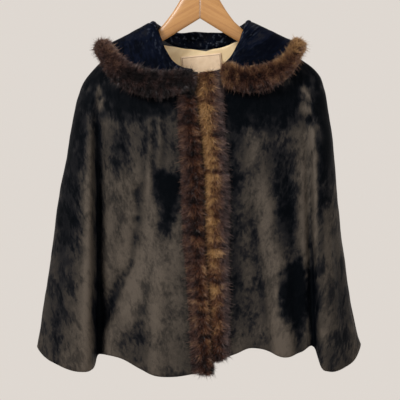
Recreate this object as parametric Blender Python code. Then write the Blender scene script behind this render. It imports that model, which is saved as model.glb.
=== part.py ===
"""A short plush cape with mink trim, on the wooden hanger that holds it up.

Metres, +Z up. The front faces -Y, so the wearer's left side is at +X and the wearer's right side
at -X. The origin is the underside of the hook's crown, where a rail carries it.
"""

import math

import bmesh
import bpy
import numpy as np

OBJECT_NAME = "capelet_on_hanger"
RIGHT, LEFT = -1, 1  # the wearer's sides, as the sign of X

# Cloth thicknesses and the gaps between sewn pieces.
WALL = 0.0025  # plush backed by its satin
COLLAR_WALL = 0.003  # two layers of plush
LINING_WALL = 0.001
LABEL_WALL = 0.0008
SEAM = 0.0003
FRONT_OPENING = 0.0015  # from the centre-front line to each front edge

# The cape's outline seen from the front: the shoulder, then the side, from neck to hem.
# Columns: how far out, height.
SIDE_OUTLINE = {
    RIGHT: (
        (-0.0845, -0.1770),
        (-0.1350, -0.2065),
        (-0.1947, -0.2414),
        (-0.2099, -0.2567),
        (-0.2218, -0.2731),
        (-0.2328, -0.3006),
        (-0.2426, -0.3433),
        (-0.2559, -0.4201),
        (-0.2712, -0.4968),
        (-0.2899, -0.6308),
        (-0.3008, -0.7014),
        (-0.3128, -0.7797),
    ),
    LEFT: (
        (0.0885, -0.1740),
        (0.1400, -0.2020),
        (0.1991, -0.2347),
        (0.2170, -0.2481),
        (0.2302, -0.2634),
        (0.2385, -0.2880),
        (0.2487, -0.3434),
        (0.2588, -0.4304),
        (0.2653, -0.5105),
        (0.2796, -0.6193),
        (0.2931, -0.7102),
        (0.3085, -0.7760),
    ),
}

# Sections of the cape at shares of its length, from 0 at the neck to 1 at the hem.
# Columns: share, depth at centre front, at the side and at centre back, roundness (2 is an
# ellipse), height at centre front, how late the section climbs to the shoulder (2 is even),
# height at centre back.
SECTIONS = (
    (0.00, -0.050, 0.000, 0.045, 2.3, -0.262, 3.2, -0.205),
    (0.10, -0.054, 0.000, 0.049, 2.4, -0.318, 2.9, -0.263),
    (0.20, -0.057, 0.000, 0.050, 2.4, -0.375, 2.6, -0.321),
    (0.32, -0.059, 0.001, 0.050, 2.5, -0.443, 2.3, -0.391),
    (0.55, -0.063, 0.003, 0.052, 2.6, -0.573, 2.0, -0.524),
    (0.80, -0.067, 0.004, 0.056, 2.7, -0.713, 2.0, -0.669),
    (1.00, -0.070, 0.005, 0.060, 2.8, -0.826, 2.0, -0.785),
)

# The centre-front line leans to the wearer's left. Columns: share of the length, place in X.
CENTRE_FRONT = (
    (0.00, -0.002),
    (0.12, -0.003),
    (0.30, 0.008),
    (0.54, 0.011),
    (0.76, 0.018),
    (1.00, 0.024),
)

# The front hem. Columns: distance from the middle, height.
HEM = {
    RIGHT: (
        (0.000, -0.8200),
        (0.050, -0.8265),
        (0.083, -0.8240),
        (0.111, -0.8125),
        (0.150, -0.7930),
        (0.200, -0.7930),
        (0.224, -0.8137),
        (0.262, -0.8070),
        (0.295, -0.7950),
        (0.313, -0.7800),
    ),
    LEFT: (
        (0.020, -0.8030),
        (0.045, -0.7930),
        (0.070, -0.7846),
        (0.090, -0.7770),
        (0.110, -0.7772),
        (0.158, -0.7900),
        (0.188, -0.7826),
        (0.213, -0.7773),
        (0.235, -0.8140),
        (0.268, -0.8120),
        (0.292, -0.8000),
        (0.3085, -0.7760),
    ),
}

# Folds. Columns: place in X at the neck and at the hem, shares of the length where the fold
# starts and where it is full, depth (inward is positive), width toward the middle and away
# from it, and how far the fold leans to the middle for each unit of depth.
FRONT_FOLDS = {
    RIGHT: (
        (-0.050, -0.066, 0.30, 1.00, -0.010, 0.045, 0.045, 0.00),
        (-0.054, -0.200, 0.30, 0.85, 0.011, 0.030, 0.030, 0.00),
        (-0.194, -0.197, 0.20, 1.00, 0.030, 0.050, 0.020, 0.00),
        (-0.224, -0.234, 0.16, 0.80, -0.042, 0.023, 0.052, 0.30),
    ),
    LEFT: (
        (0.085, 0.098, 0.35, 1.00, 0.011, 0.030, 0.030, 0.00),
        (0.145, 0.157, 0.25, 1.00, -0.013, 0.032, 0.032, 0.00),
        (0.205, 0.211, 0.20, 1.00, 0.028, 0.045, 0.020, 0.00),
        (0.232, 0.248, 0.25, 0.85, -0.040, 0.022, 0.042, 0.30),
    ),
}
BACK_FOLDS = (
    (-0.190, -0.238, 0.25, 1.00, -0.024, 0.034, 0.034, 0.10),
    (-0.150, -0.172, 0.30, 1.00, 0.012, 0.030, 0.030, 0.00),
    (-0.080, -0.105, 0.30, 1.00, -0.018, 0.038, 0.036, 0.00),
    (0.010, 0.016, 0.40, 1.00, -0.014, 0.036, 0.040, 0.00),
    (0.055, 0.070, 0.30, 1.00, 0.010, 0.026, 0.028, 0.00),
    (0.105, 0.135, 0.30, 1.00, -0.020, 0.036, 0.036, 0.00),
    (0.195, 0.240, 0.25, 1.00, -0.022, 0.034, 0.034, 0.10),
)

# The grid that every cloth piece is made from.
SHOULDER_SHARE = 0.32  # the rows are closer together above this share of the length
SHOULDER_ROWS = 9
BODY_ROWS = 12
BAND_COLUMNS = 3
FRONT_COLUMNS = 24
BACK_COLUMNS = 14
DENSE = 240  # points on each half section before they are spaced out

# The mink bands down the fronts. Columns: share of the length, width of each.
BAND_WIDTH = {
    RIGHT: ((0.00, 0.032), (0.12, 0.032), (0.25, 0.037), (0.50, 0.037), (0.75, 0.033), (1.0, 0.033)),
    LEFT: ((0.00, 0.040), (0.12, 0.041), (0.25, 0.038), (0.45, 0.039), (0.65, 0.033), (1.0, 0.025)),
}
BAND_HEIGHT = 0.019
BAND_TOP = {RIGHT: 0.080, LEFT: 0.004}  # shares of the length
BAND_TAIL = 0.004  # how far the fur hangs past the hem
BAND_RISE = 0.04  # share of the length over which the band's top reaches its full height
BAND_TOP_HEIGHT = 0.55  # the height where it starts, as a share of the full one
# Columns: share of the width, share of the height, over the top from outer edge to front edge.
BAND_DOME = ((1.03, 0.35), (0.97, 0.72), (0.72, 0.97), (0.32, 1.00), (0.07, 0.78), (0.00, 0.35))

# The collar, by columns of the cape's grid. Columns: share of the way from centre front to
# centre back, height of the stand, radius of the roll, share of the cape's length where the
# fall ends and its fur starts, how far the fall's edge is off the cape, half of the fur's
# width and of its height.
COLLAR = {
    RIGHT: (
        (0.030, 0.0010, 0.0024, 0.014, 0.0055, 0.0130, 0.0105),
        (0.080, 0.0010, 0.0026, 0.015, 0.0055, 0.0185, 0.0120),
        (0.160, 0.0015, 0.0030, 0.031, 0.0065, 0.0225, 0.0130),
        (0.260, 0.0030, 0.0038, 0.055, 0.0090, 0.0245, 0.0140),
        (0.370, 0.0055, 0.0045, 0.084, 0.0130, 0.0243, 0.0150),
        (0.500, 0.0085, 0.0050, 0.118, 0.0180, 0.0215, 0.0175),
        (0.630, 0.0115, 0.0050, 0.133, 0.0220, 0.0190, 0.0205),
        (0.720, 0.0150, 0.0050, 0.125, 0.0180, 0.0205, 0.0175),
        (0.850, 0.0225, 0.0050, 0.102, 0.0140, 0.0210, 0.0145),
        (0.950, 0.0275, 0.0050, 0.094, 0.0130, 0.0210, 0.0135),
        (1.000, 0.0280, 0.0050, 0.093, 0.0130, 0.0210, 0.0135),
    ),
    LEFT: (
        (0.105, 0.0010, 0.0024, 0.006, 0.0055, 0.0185, 0.0115),
        (0.160, 0.0015, 0.0030, 0.013, 0.0065, 0.0225, 0.0120),
        (0.260, 0.0030, 0.0038, 0.052, 0.0090, 0.0222, 0.0140),
        (0.370, 0.0055, 0.0045, 0.084, 0.0130, 0.0222, 0.0150),
        (0.500, 0.0085, 0.0050, 0.125, 0.0180, 0.0175, 0.0165),
        (0.630, 0.0115, 0.0050, 0.133, 0.0210, 0.0165, 0.0185),
        (0.720, 0.0150, 0.0050, 0.125, 0.0180, 0.0180, 0.0165),
        (0.850, 0.0225, 0.0050, 0.102, 0.0140, 0.0210, 0.0145),
        (0.950, 0.0275, 0.0050, 0.094, 0.0130, 0.0210, 0.0135),
        (1.000, 0.0280, 0.0050, 0.093, 0.0130, 0.0210, 0.0135),
    ),
}
COLLAR_FIRST = {RIGHT: 1, LEFT: 4}  # the grid column where each end of the collar is
FALL_POINTS = 4
FALL_START = 0.80  # how far off the cape the fall starts, as a share of its edge's lift
ROLL_POINTS = 5
FUR_SIDES = 10
FUR_CLEARANCE = 0.0009  # from the collar's fur to the cape under it
FUR_END = 0.004  # how far the front end of the collar's fur bulges
CREST_COLUMNS = 4  # beside the shoulder line, where the collar has every column of the grid

# The lining of the back, as far as the neck shows it, and the blank label on it.
LINING_ROWS = 7
LINING_FIRST = 26  # the grid column where the lining starts, clear of the hanger's arms
LABEL_WIDTH = 0.081
LABEL_HEIGHT = 0.046
LABEL_MIDDLE = (0.004, -0.2390)
LABEL_TILT = math.radians(5.7)
LABEL_COLUMNS, LABEL_ROWS = 6, 3
SEARCH_ROUNDS = 12  # steps that find a place on the back

# The hanger. Columns: distance from the middle, top, bottom, half thickness.
ARM_NECK = (
    (0.000, -0.0750, -0.1524, 0.0060),
    (0.010, -0.0770, -0.1586, 0.0060),
    (0.022, -0.0900, -0.1660, 0.0060),
    (0.038, -0.1172, -0.1758, 0.0060),
    (0.052, -0.1400, -0.1844, 0.0060),
    (0.066, -0.1590, -0.1930, 0.0060),
)
ARM_BOTTOM_SLOPE = 0.57
ARM_TIP = 0.2015
TIP_DROP, TIP_LIFT = 0.35, 0.12  # how the tip's top and bottom close, as shares of its height
TIP_HALF = 0.0045
ARM_STATIONS = (0.080, 0.090, 0.110, 0.140, 0.170, 0.188, 0.196)
ARM_SIDES = 16
ARM_ROUNDNESS = 0.85  # 1 is an ellipse, 0 a square
ARM_CLEARANCE = 0.0050  # from the top of the wood to the cape's outer face, straight up
HOOK_WIRE = 0.0020
HOOK_BEND = 0.0260
HOOK_FOOT = -0.0970
HOOK_STRAIGHT = -0.0620
HOOK_PULL = 0.0100  # how gently the shank swings into the bend
HOOK_JOIN = math.radians(228)  # where the bend starts and ends, round its middle
HOOK_END = math.radians(-35)
HOOK_LEAD_POINTS = 6
HOOK_BEND_POINTS = 22
BORE = 0.0026
BORE_SIDES = 12

SHARP = math.radians(50)  # edges sharper than this stay crisp
STEP = 0.02  # share of the length that a direction down the cape is measured over


def smooth(rows, at):
    """The values between the rows of a table, on smooth curves through its rows."""
    table = np.array(rows, float)
    place, value = table[:, 0], table[:, 1:]
    slope = np.gradient(value, place, axis=0)
    at = np.clip(np.atleast_1d(np.asarray(at, float)), place[0], place[-1])
    i = np.clip(np.searchsorted(place, at, side="right") - 1, 0, len(place) - 2)
    step = (place[i + 1] - place[i])[:, None]
    t = (at - place[i])[:, None] / step
    start = (1 + 2 * t) * (1 - t) ** 2 * value[i] + t * (1 - t) ** 2 * step * slope[i]
    end = t**2 * (3 - 2 * t) * value[i + 1] + t**2 * (t - 1) * step * slope[i + 1]
    return start + end


def ease(t):
    """0 to 1, with a soft start and end."""
    t = np.clip(t, 0, 1)
    return t * t * (3 - 2 * t)


def unit(vectors):
    return vectors / np.maximum(np.linalg.norm(vectors, axis=-1, keepdims=True), 1e-12)


def along_outline(rows, share):
    """The point of an outline at a share of its length."""
    points = np.array(rows, float)
    run = np.concatenate([[0], np.cumsum(np.linalg.norm(np.diff(points, axis=0), axis=1))])
    return smooth(np.column_stack([run / run[-1], points]), share)[0]


def folded(x, y, across, folds, share, inward):
    """A section with its folds: each one a soft trough or ridge that grows down the cape."""
    moved_x, moved_y = x.copy(), y.copy()
    at_side = 1 - across**12
    for x_neck, x_hem, start, full, depth, toward, away, lean in folds:
        middle = x_neck + (x_hem - x_neck) * share
        outward = (x - middle) * math.copysign(1, middle)
        width = np.where(outward < 0, toward, away)
        grown = ease((share - start) / (full - start))
        bump = depth * grown * np.exp(-((outward / width) ** 2)) * at_side
        moved_y += inward * bump
        moved_x -= math.copysign(lean, middle) * np.abs(bump)
    return moved_x, moved_y


def half_section(side, share):
    """Points round the front and the back of one side of the cape, at one share of its length."""
    front_y, side_y, back_y, power, front_z, climb, back_z = smooth(SECTIONS, share)[0]
    hem_climb = SECTIONS[-1][6]
    side_x, side_z = along_outline(SIDE_OUTLINE[side], share)
    turn = np.linspace(0, math.pi / 2, DENSE)
    across = np.sin(turn) ** (2 / power)
    depth = np.maximum(np.cos(turn), 0) ** (2 / power)

    edge = smooth(CENTRE_FRONT, share)[0, 0] + side * FRONT_OPENING
    x = edge + (side_x - edge) * across
    y = side_y + (front_y - side_y) * depth
    z = front_z + (side_z - front_z) * across**climb
    hem = smooth(HEM[side], np.abs(x))[:, 0]
    plain_hem = SECTIONS[-1][5] + (SIDE_OUTLINE[side][-1][1] - SECTIONS[-1][5]) * across**hem_climb
    z = z + (hem - plain_hem) * share**4
    x, y = folded(x, y, across, FRONT_FOLDS[side], share, 1)
    front = np.column_stack([x, y, z])

    x = side_x * across
    y = side_y + (back_y - side_y) * depth
    z = back_z + (side_z - back_z) * across**climb
    x, y = folded(x, y, across, BACK_FOLDS, share, -1)
    back = np.column_stack([x, y, z])[::-1]
    return front, back


def spaced(points, first, columns):
    """Points at even distances along a line, after those whose distances are given."""
    run = np.concatenate([[0], np.cumsum(np.linalg.norm(np.diff(points, axis=0), axis=1))])
    rest = np.linspace(first[-1], run[-1], columns + 2 - len(first))[1:]
    at = np.concatenate([first, rest])
    return np.stack([np.interp(at, run, points[:, k]) for k in range(3)], axis=1)


def shares():
    top = np.linspace(0, SHOULDER_SHARE, SHOULDER_ROWS)
    return np.concatenate([top, np.linspace(SHOULDER_SHARE, 1, BODY_ROWS + 1)[1:]])


def half_cape(side):
    """The outer face of one side as a grid, a row for each height, and its outward normals."""
    rows = []
    for share in shares():
        band = np.linspace(0, smooth(BAND_WIDTH[side], share)[0, 0], BAND_COLUMNS + 1)
        front, back = half_section(side, share)
        front = spaced(front, band, FRONT_COLUMNS)
        back = spaced(back, np.zeros(1), BACK_COLUMNS)
        rows.append(np.concatenate([front, back[1:]]))
    grid = np.array(rows)
    normal = -side * np.cross(np.gradient(grid, axis=1), np.gradient(grid, axis=0))
    return grid, unit(normal)


class Cape:
    """Both sides of the cape, with one shared line of points down the centre back."""

    def __init__(self):
        self.grid, self.normal = {}, {}
        for side in (RIGHT, LEFT):
            self.grid[side], self.normal[side] = half_cape(side)
        middle = self.normal[RIGHT][:, -1] + self.normal[LEFT][:, -1]
        for side in (RIGHT, LEFT):
            self.normal[side][:, -1] = unit(middle)

    def at(self, side, column, share):
        """A point of the outer face and its normal, between the grid's own rows and columns."""
        low = min(int(column), self.grid[side].shape[1] - 2)
        part = column - low
        found = []
        for values in (self.grid[side], self.normal[side]):
            line = values[:, low] * (1 - part) + values[:, low + 1] * part
            found.append(np.array([np.interp(share, shares(), line[:, k]) for k in range(3)]))
        return found[0], unit(found[1])

    def downward(self, side, column, share):
        """The direction down the cape along one column."""
        upper = self.at(side, column, share)[0]
        lower = self.at(side, column, share + STEP)[0]
        return unit(lower - upper)


def material(name, colour, roughness, metallic=0.0):
    made = bpy.data.materials.new(name)
    made.use_nodes = True
    shader = made.node_tree.nodes["Principled BSDF"]
    shader.inputs["Base Color"].default_value = (*colour, 1)
    shader.inputs["Roughness"].default_value = roughness
    shader.inputs["Metallic"].default_value = metallic
    made.diffuse_color = (*colour, 1)
    return made


def mesh_object(name, points, faces, finish, parts):
    """One closed solid with its faces pointing out, shaded smooth."""
    shape = bmesh.new()
    corners = [shape.verts.new(p) for p in points]
    for face in faces:
        shape.faces.new([corners[i] for i in face])
    bmesh.ops.recalc_face_normals(shape, faces=shape.faces)
    mesh = bpy.data.meshes.new(name)
    shape.to_mesh(mesh)
    shape.free()
    mesh.shade_smooth()
    mesh.set_sharp_from_angle(angle=SHARP)
    mesh.materials.append(finish)
    made = bpy.data.objects.new(name, mesh)
    parts.objects.link(made)
    return made


def split(a, b, c, d):
    """A four-sided face as two triangles, always on the same diagonal, so that layers match."""
    return (a, b, c), (a, c, d)


def wall(name, outer, inner, finish, parts):
    """A sheet of cloth between two grids of points, closed by a rim."""
    rows, columns = outer.shape[:2]
    far = rows * columns

    faces = []
    for r in range(rows - 1):
        for c in range(columns - 1):
            a = r * columns + c
            for face in split(a, a + 1, a + columns + 1, a + columns):
                faces.append(face)
                faces.append(tuple(i + far for i in face[::-1]))
    rim = list(range(columns))
    rim += [r * columns + columns - 1 for r in range(1, rows)]
    rim += [(rows - 1) * columns + c for c in range(columns - 2, -1, -1)]
    rim += [r * columns for r in range(rows - 2, 0, -1)]
    for a, b in zip(rim, rim[1:] + rim[:1]):
        faces.append((b, a, a + far, b + far))
    points = np.concatenate([outer.reshape(-1, 3), inner.reshape(-1, 3)])
    return mesh_object(name, points, faces, finish, parts)


def roll(name, loops, finish, parts, bulges):
    """A closed loft through loops of points, each end closed by a flat or bulging fan."""
    loops = np.array(loops)
    stations, sides = loops.shape[:2]
    faces = []
    for s in range(stations - 1):
        for k in range(sides):
            a, b = s * sides + k, s * sides + (k + 1) % sides
            faces += split(a, b, b + sides, a + sides)
    points = list(loops.reshape(-1, 3))
    for end, inner, bulge in ((0, 1, bulges[0]), (stations - 1, stations - 2, bulges[1])):
        middle = loops[end].mean(axis=0)
        points.append(middle + bulge * unit(middle - loops[inner].mean(axis=0)))
        for k in range(sides):
            faces.append((end * sides + k, end * sides + (k + 1) % sides, len(points) - 1))
    return mesh_object(name, points, faces, finish, parts)


def front_panel(cape, side, name, finish, parts):
    """A front, from its centre edge to the side seam."""
    grid = cape.grid[side][:, : FRONT_COLUMNS + 1].copy()
    normal = cape.normal[side][:, : FRONT_COLUMNS + 1]
    grid[:, -1] += unit(grid[:, -2] - grid[:, -1]) * SEAM / 2
    return wall(name, grid, grid - normal * WALL, finish, parts)


def back_panel(cape, finish, parts):
    """The back, from one side seam to the other."""
    halves, normals = [], []
    for side in (RIGHT, LEFT):
        half = cape.grid[side][:, FRONT_COLUMNS:].copy()
        half[:, 0] += unit(half[:, 1] - half[:, 0]) * SEAM / 2
        halves.append(half)
        normals.append(cape.normal[side][:, FRONT_COLUMNS:])
    grid = np.concatenate([halves[0], halves[1][:, -2::-1]], axis=1)
    normal = np.concatenate([normals[0], normals[1][:, -2::-1]], axis=1)
    return wall("back", grid, grid - normal * WALL, finish, parts)


def back_lining(cape, finish, parts):
    """The lining against the inside of the back, from the neck down behind the fronts."""
    halves, normals = [], []
    for side in (RIGHT, LEFT):
        halves.append(cape.grid[side][:LINING_ROWS, LINING_FIRST:])
        normals.append(cape.normal[side][:LINING_ROWS, LINING_FIRST:])
    grid = np.concatenate([halves[0], halves[1][:, -2::-1]], axis=1)
    normal = np.concatenate([normals[0], normals[1][:, -2::-1]], axis=1)
    outer = grid - normal * (WALL + SEAM)
    return wall("back_lining", outer, outer - normal * LINING_WALL, finish, parts)


def on_back(cape, x, z):
    """The point of the back's outer face at a place seen from the front, and its normal."""
    side = LEFT if x > 0 else RIGHT
    last = FRONT_COLUMNS + BACK_COLUMNS
    column, share = float(last - 2), STEP
    for _ in range(SEARCH_ROUNDS):
        point = cape.at(side, column, share)[0]
        beside = cape.at(side, column - 1, share)[0]
        below = cape.at(side, column, share + STEP)[0]
        column = min(max(column - (x - point[0]) / (beside[0] - point[0]), LINING_FIRST), last)
        share = min(max(share + STEP * (z - point[2]) / (below[2] - point[2]), 0), SHOULDER_SHARE)
    return cape.at(side, column, share)


def label(cape, finish, parts):
    """The blank label, sewn flat on the lining and a little askew."""
    outer, normals = [], []
    for v in np.linspace(0.5, -0.5, LABEL_ROWS + 1):
        for u in np.linspace(-0.5, 0.5, LABEL_COLUMNS + 1):
            right, up = u * LABEL_WIDTH, v * LABEL_HEIGHT
            x = LABEL_MIDDLE[0] + right * math.cos(LABEL_TILT) - up * math.sin(LABEL_TILT)
            z = LABEL_MIDDLE[1] + right * math.sin(LABEL_TILT) + up * math.cos(LABEL_TILT)
            point, normal = on_back(cape, x, z)
            outer.append(point)
            normals.append(normal)
    shape = (LABEL_ROWS + 1, LABEL_COLUMNS + 1, 3)
    normal = np.array(normals).reshape(shape)
    outer = np.array(outer).reshape(shape) - normal * (WALL + LINING_WALL + 3 * SEAM)
    return wall("label", outer, outer - normal * LABEL_WALL, finish, parts)


def collar_columns(side):
    """The grid columns that the collar and its fur share, from its front end to the back."""
    before, after = FRONT_COLUMNS - CREST_COLUMNS, FRONT_COLUMNS + CREST_COLUMNS
    front = list(range(COLLAR_FIRST[side], before, 2))
    return front + list(range(before, after)) + list(range(after, FRONT_COLUMNS + BACK_COLUMNS + 1, 2))


def collar_section(cape, side, column):
    """The middle of the collar's wall at one column: up the stand, over the roll, down the fall."""
    at = column / (FRONT_COLUMNS + BACK_COLUMNS)
    stand, radius, fall, lift = smooth(COLLAR[side], at)[0, :4]
    neck, normal = cape.at(side, column, 0)
    out = unit(np.array([normal[0], normal[1], 0]))
    up = np.array([0, 0, 1.0])
    foot = neck + up * SEAM * 1.5
    points = [foot, foot + up * stand]
    for turn in np.linspace(0, math.pi, ROLL_POINTS)[1:-1]:
        points.append(points[1] + out * radius * (1 - math.cos(turn)) + up * radius * math.sin(turn))
    for part in np.linspace(0, 1, FALL_POINTS + 1)[1:]:
        point, normal = cape.at(side, column, fall * part)
        points.append(point + normal * lift * (FALL_START + (1 - FALL_START) * part))
    return np.array(points)


def collar(cape, finish, parts):
    """The turned-down collar, one wall round the neck that is folded over at its roll."""
    lines = [collar_section(cape, RIGHT, c) for c in collar_columns(RIGHT)]
    lines += [collar_section(cape, LEFT, c) for c in collar_columns(LEFT)[-2::-1]]
    middle = np.array(lines)
    normal = unit(np.cross(np.gradient(middle, axis=1), np.gradient(middle, axis=0)))
    half = normal * COLLAR_WALL / 2
    return wall("collar", middle + half, middle - half, finish, parts)


def collar_fur(cape, side, name, finish, parts):
    """The mink round the collar's edge, from its front end to the centre back."""
    loops = []
    for column in collar_columns(side):
        at = column / (FRONT_COLUMNS + BACK_COLUMNS)
        fall, half_width, half_height = smooth(COLLAR[side], at)[0, [2, 4, 5]]
        edge, normal = cape.at(side, column, fall)
        down = cape.downward(side, column, fall)
        middle = edge + normal * (half_height + FUR_CLEARANCE) + down * (half_width + SEAM)
        turn = np.linspace(0, 2 * math.pi, FUR_SIDES, endpoint=False)[:, None]
        loop = middle + down * half_width * np.cos(turn) + normal * half_height * np.sin(turn)
        if column == FRONT_COLUMNS + BACK_COLUMNS:
            loop[:, 0] = side * SEAM / 2
        loops.append(loop)
    return roll(name, loops, finish, parts, (FUR_END, 0))


def front_fur(cape, side, name, finish, parts):
    """The mink band down a front's centre edge, domed over the panel's own points."""
    rows = [BAND_TOP[side]] + [s for s in shares() if s > BAND_TOP[side] + STEP / 2]
    loops = []
    for share in rows:
        base, normals = [], []
        for column in range(BAND_COLUMNS + 1):
            point, normal = cape.at(side, column, share)
            base.append(point)
            normals.append(normal)
        across = base[-1] - base[0]
        risen = ease((share - rows[0]) / BAND_RISE)
        height = BAND_HEIGHT * (BAND_TOP_HEIGHT + (1 - BAND_TOP_HEIGHT) * risen)
        loop = [point + normal * SEAM for point, normal in zip(base, normals)]
        for wide, high in BAND_DOME:
            place = np.clip(wide, 0, 1) * BAND_COLUMNS
            low = min(int(place), BAND_COLUMNS - 1)
            part = place - low
            normal = unit(normals[low] * (1 - part) + normals[low + 1] * part)
            point = base[0] + across * wide + normal * (SEAM + height * high)
            loop.append(point)
        loops.append(loop)
    down = unit(np.array(loops[-1]).mean(axis=0) - np.array(loops[-2]).mean(axis=0))
    loops.append(np.array(loops[-1]) + down * BAND_TAIL)
    return roll(name, loops, finish, parts, (0, 0))


def wooden_arm(cape, side, name, finish, parts):
    """One arm of the hanger, from the middle joint to its tip under the shoulder."""
    rows = [list(row) for row in ARM_NECK]
    rows[0][0] = SEAM / 2
    last_place, last_top, last_bottom, half = ARM_NECK[-1]
    crest = cape.grid[side][:, FRONT_COLUMNS]
    place_of = np.concatenate([[last_place], np.abs(crest[:, 0])])
    top_of = np.concatenate([[last_top], crest[:, 2] - ARM_CLEARANCE])
    for place in ARM_STATIONS:
        top = np.interp(place, place_of, top_of)
        bottom = last_bottom - ARM_BOTTOM_SLOPE * (place - last_place)
        rows.append([place, top, bottom, half])
    tip = rows[-1]
    height = tip[1] - tip[2]
    rows.append([ARM_TIP, tip[1] - TIP_DROP * height, tip[2] + TIP_LIFT * height, TIP_HALF])
    loops = []
    for place, top, bottom, half in rows:
        turn = np.linspace(0, 2 * math.pi, ARM_SIDES, endpoint=False)
        c, s = np.cos(turn), np.sin(turn)
        y = half * np.sign(c) * np.abs(c) ** ARM_ROUNDNESS
        z = (top + bottom) / 2 + (top - bottom) / 2 * np.sign(s) * np.abs(s) ** ARM_ROUNDNESS
        loops.append(np.column_stack([np.full(ARM_SIDES, side * place), y, z]))
    return roll(name, loops, finish, parts, (0, 0))


def hook(finish, parts):
    """The steel hook: a straight shank, a bend and three quarters of a turn over the rail."""
    centre = HOOK_WIRE - HOOK_BEND
    join = (HOOK_BEND * math.cos(HOOK_JOIN), centre + HOOK_BEND * math.sin(HOOK_JOIN))
    lead_x = join[0] + HOOK_PULL * abs(math.sin(HOOK_JOIN))
    lead_z = join[1] - HOOK_PULL * abs(math.cos(HOOK_JOIN))
    points = [(0, HOOK_FOOT), (0, (HOOK_FOOT + HOOK_STRAIGHT) / 2), (0, HOOK_STRAIGHT)]
    for t in np.linspace(0, 1, HOOK_LEAD_POINTS + 1)[1:-1]:
        a, b, c, d = (1 - t) ** 3, 3 * t * (1 - t) ** 2, 3 * t * t * (1 - t), t**3
        x = c * lead_x + d * join[0]
        z = a * HOOK_STRAIGHT + b * (HOOK_STRAIGHT + HOOK_PULL) + c * lead_z + d * join[1]
        points.append((x, z))
    for turn in np.linspace(HOOK_JOIN, HOOK_END, HOOK_BEND_POINTS):
        points.append((HOOK_BEND * math.cos(turn), centre + HOOK_BEND * math.sin(turn)))
    data = bpy.data.curves.new("hanger_hook", "CURVE")
    data.dimensions = "3D"
    data.bevel_depth = HOOK_WIRE
    data.bevel_resolution = 2
    data.use_fill_caps = True
    line = data.splines.new("POLY")
    line.points.add(len(points) - 1)
    for place, (x, z) in zip(line.points, points):
        place.co = (x, 0, z, 1)
    line.use_smooth = True
    data.materials.append(finish)
    made = bpy.data.objects.new("hanger_hook", data)
    parts.objects.link(made)
    return made


def bore(arm, cutter):
    """The hole that the hook's shank sits in, half of it in each arm."""
    cut = arm.modifiers.new("shank_bore", "BOOLEAN")
    cut.operation = "DIFFERENCE"
    cut.object = cutter


def shank_cutter(cutters):
    depth = 2 * (ARM_NECK[0][1] - HOOK_FOOT) + 4 * SEAM
    shape = bmesh.new()
    bmesh.ops.create_cone(
        shape, cap_ends=True, segments=BORE_SIDES, radius1=BORE, radius2=BORE, depth=depth
    )
    mesh = bpy.data.meshes.new("shank_cutter")
    shape.to_mesh(mesh)
    shape.free()
    made = bpy.data.objects.new("shank_cutter", mesh)
    made.location = (0, 0, ARM_NECK[0][1])
    made.hide_render = True
    made.display_type = "WIRE"
    cutters.objects.link(made)
    return made


def main():
    for old in list(bpy.data.objects):
        bpy.data.objects.remove(old)
    parts = bpy.data.collections.new(OBJECT_NAME)
    cutters = bpy.data.collections.new("cutters")
    for collection in (parts, cutters):
        bpy.context.scene.collection.children.link(collection)

    plush = material("seal_plush", (0.010, 0.009, 0.010), 0.45)
    satin = material("cream_satin", (0.72, 0.58, 0.38), 0.35)
    woven = material("label_satin", (0.76, 0.58, 0.48), 0.5)
    mink = material("mink", (0.075, 0.028, 0.014), 0.6)
    beech = material("beech", (0.54, 0.30, 0.11), 0.4)
    steel = material("bright_steel", (0.60, 0.60, 0.60), 0.25, 1.0)

    cape = Cape()
    front_panel(cape, RIGHT, "front_right", plush, parts)
    front_panel(cape, LEFT, "front_left", plush, parts)
    back_panel(cape, plush, parts)
    back_lining(cape, satin, parts)
    label(cape, woven, parts)
    collar(cape, plush, parts)
    collar_fur(cape, RIGHT, "collar_fur_right", mink, parts)
    collar_fur(cape, LEFT, "collar_fur_left", mink, parts)
    front_fur(cape, RIGHT, "front_fur_right", mink, parts)
    front_fur(cape, LEFT, "front_fur_left", mink, parts)
    cutter = shank_cutter(cutters)
    for side, name in ((RIGHT, "hanger_arm_right"), (LEFT, "hanger_arm_left")):
        bore(wooden_arm(cape, side, name, beech, parts), cutter)
    hook(steel, parts)


main()
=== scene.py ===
import math

import bpy
import numpy as np
from mathutils import Matrix, Vector, noise


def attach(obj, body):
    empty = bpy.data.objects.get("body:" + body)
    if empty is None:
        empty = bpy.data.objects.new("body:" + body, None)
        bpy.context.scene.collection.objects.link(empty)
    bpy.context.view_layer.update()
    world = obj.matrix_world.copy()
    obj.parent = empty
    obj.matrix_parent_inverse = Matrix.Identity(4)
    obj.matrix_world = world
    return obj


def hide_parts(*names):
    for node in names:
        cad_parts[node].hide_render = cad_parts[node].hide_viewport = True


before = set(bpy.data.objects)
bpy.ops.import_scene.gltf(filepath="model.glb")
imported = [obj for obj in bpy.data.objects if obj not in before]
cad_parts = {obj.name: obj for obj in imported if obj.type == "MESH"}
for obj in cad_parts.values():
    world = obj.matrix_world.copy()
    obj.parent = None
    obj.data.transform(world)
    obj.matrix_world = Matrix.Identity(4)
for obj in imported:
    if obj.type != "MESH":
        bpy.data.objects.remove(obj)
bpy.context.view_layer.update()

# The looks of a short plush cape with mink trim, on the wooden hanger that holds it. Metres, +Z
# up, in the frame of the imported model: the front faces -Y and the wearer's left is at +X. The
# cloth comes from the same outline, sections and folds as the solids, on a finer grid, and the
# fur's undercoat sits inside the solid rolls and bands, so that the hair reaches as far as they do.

RIGHT, LEFT = -1, 1  # the wearer's sides, as the sign of X

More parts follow.
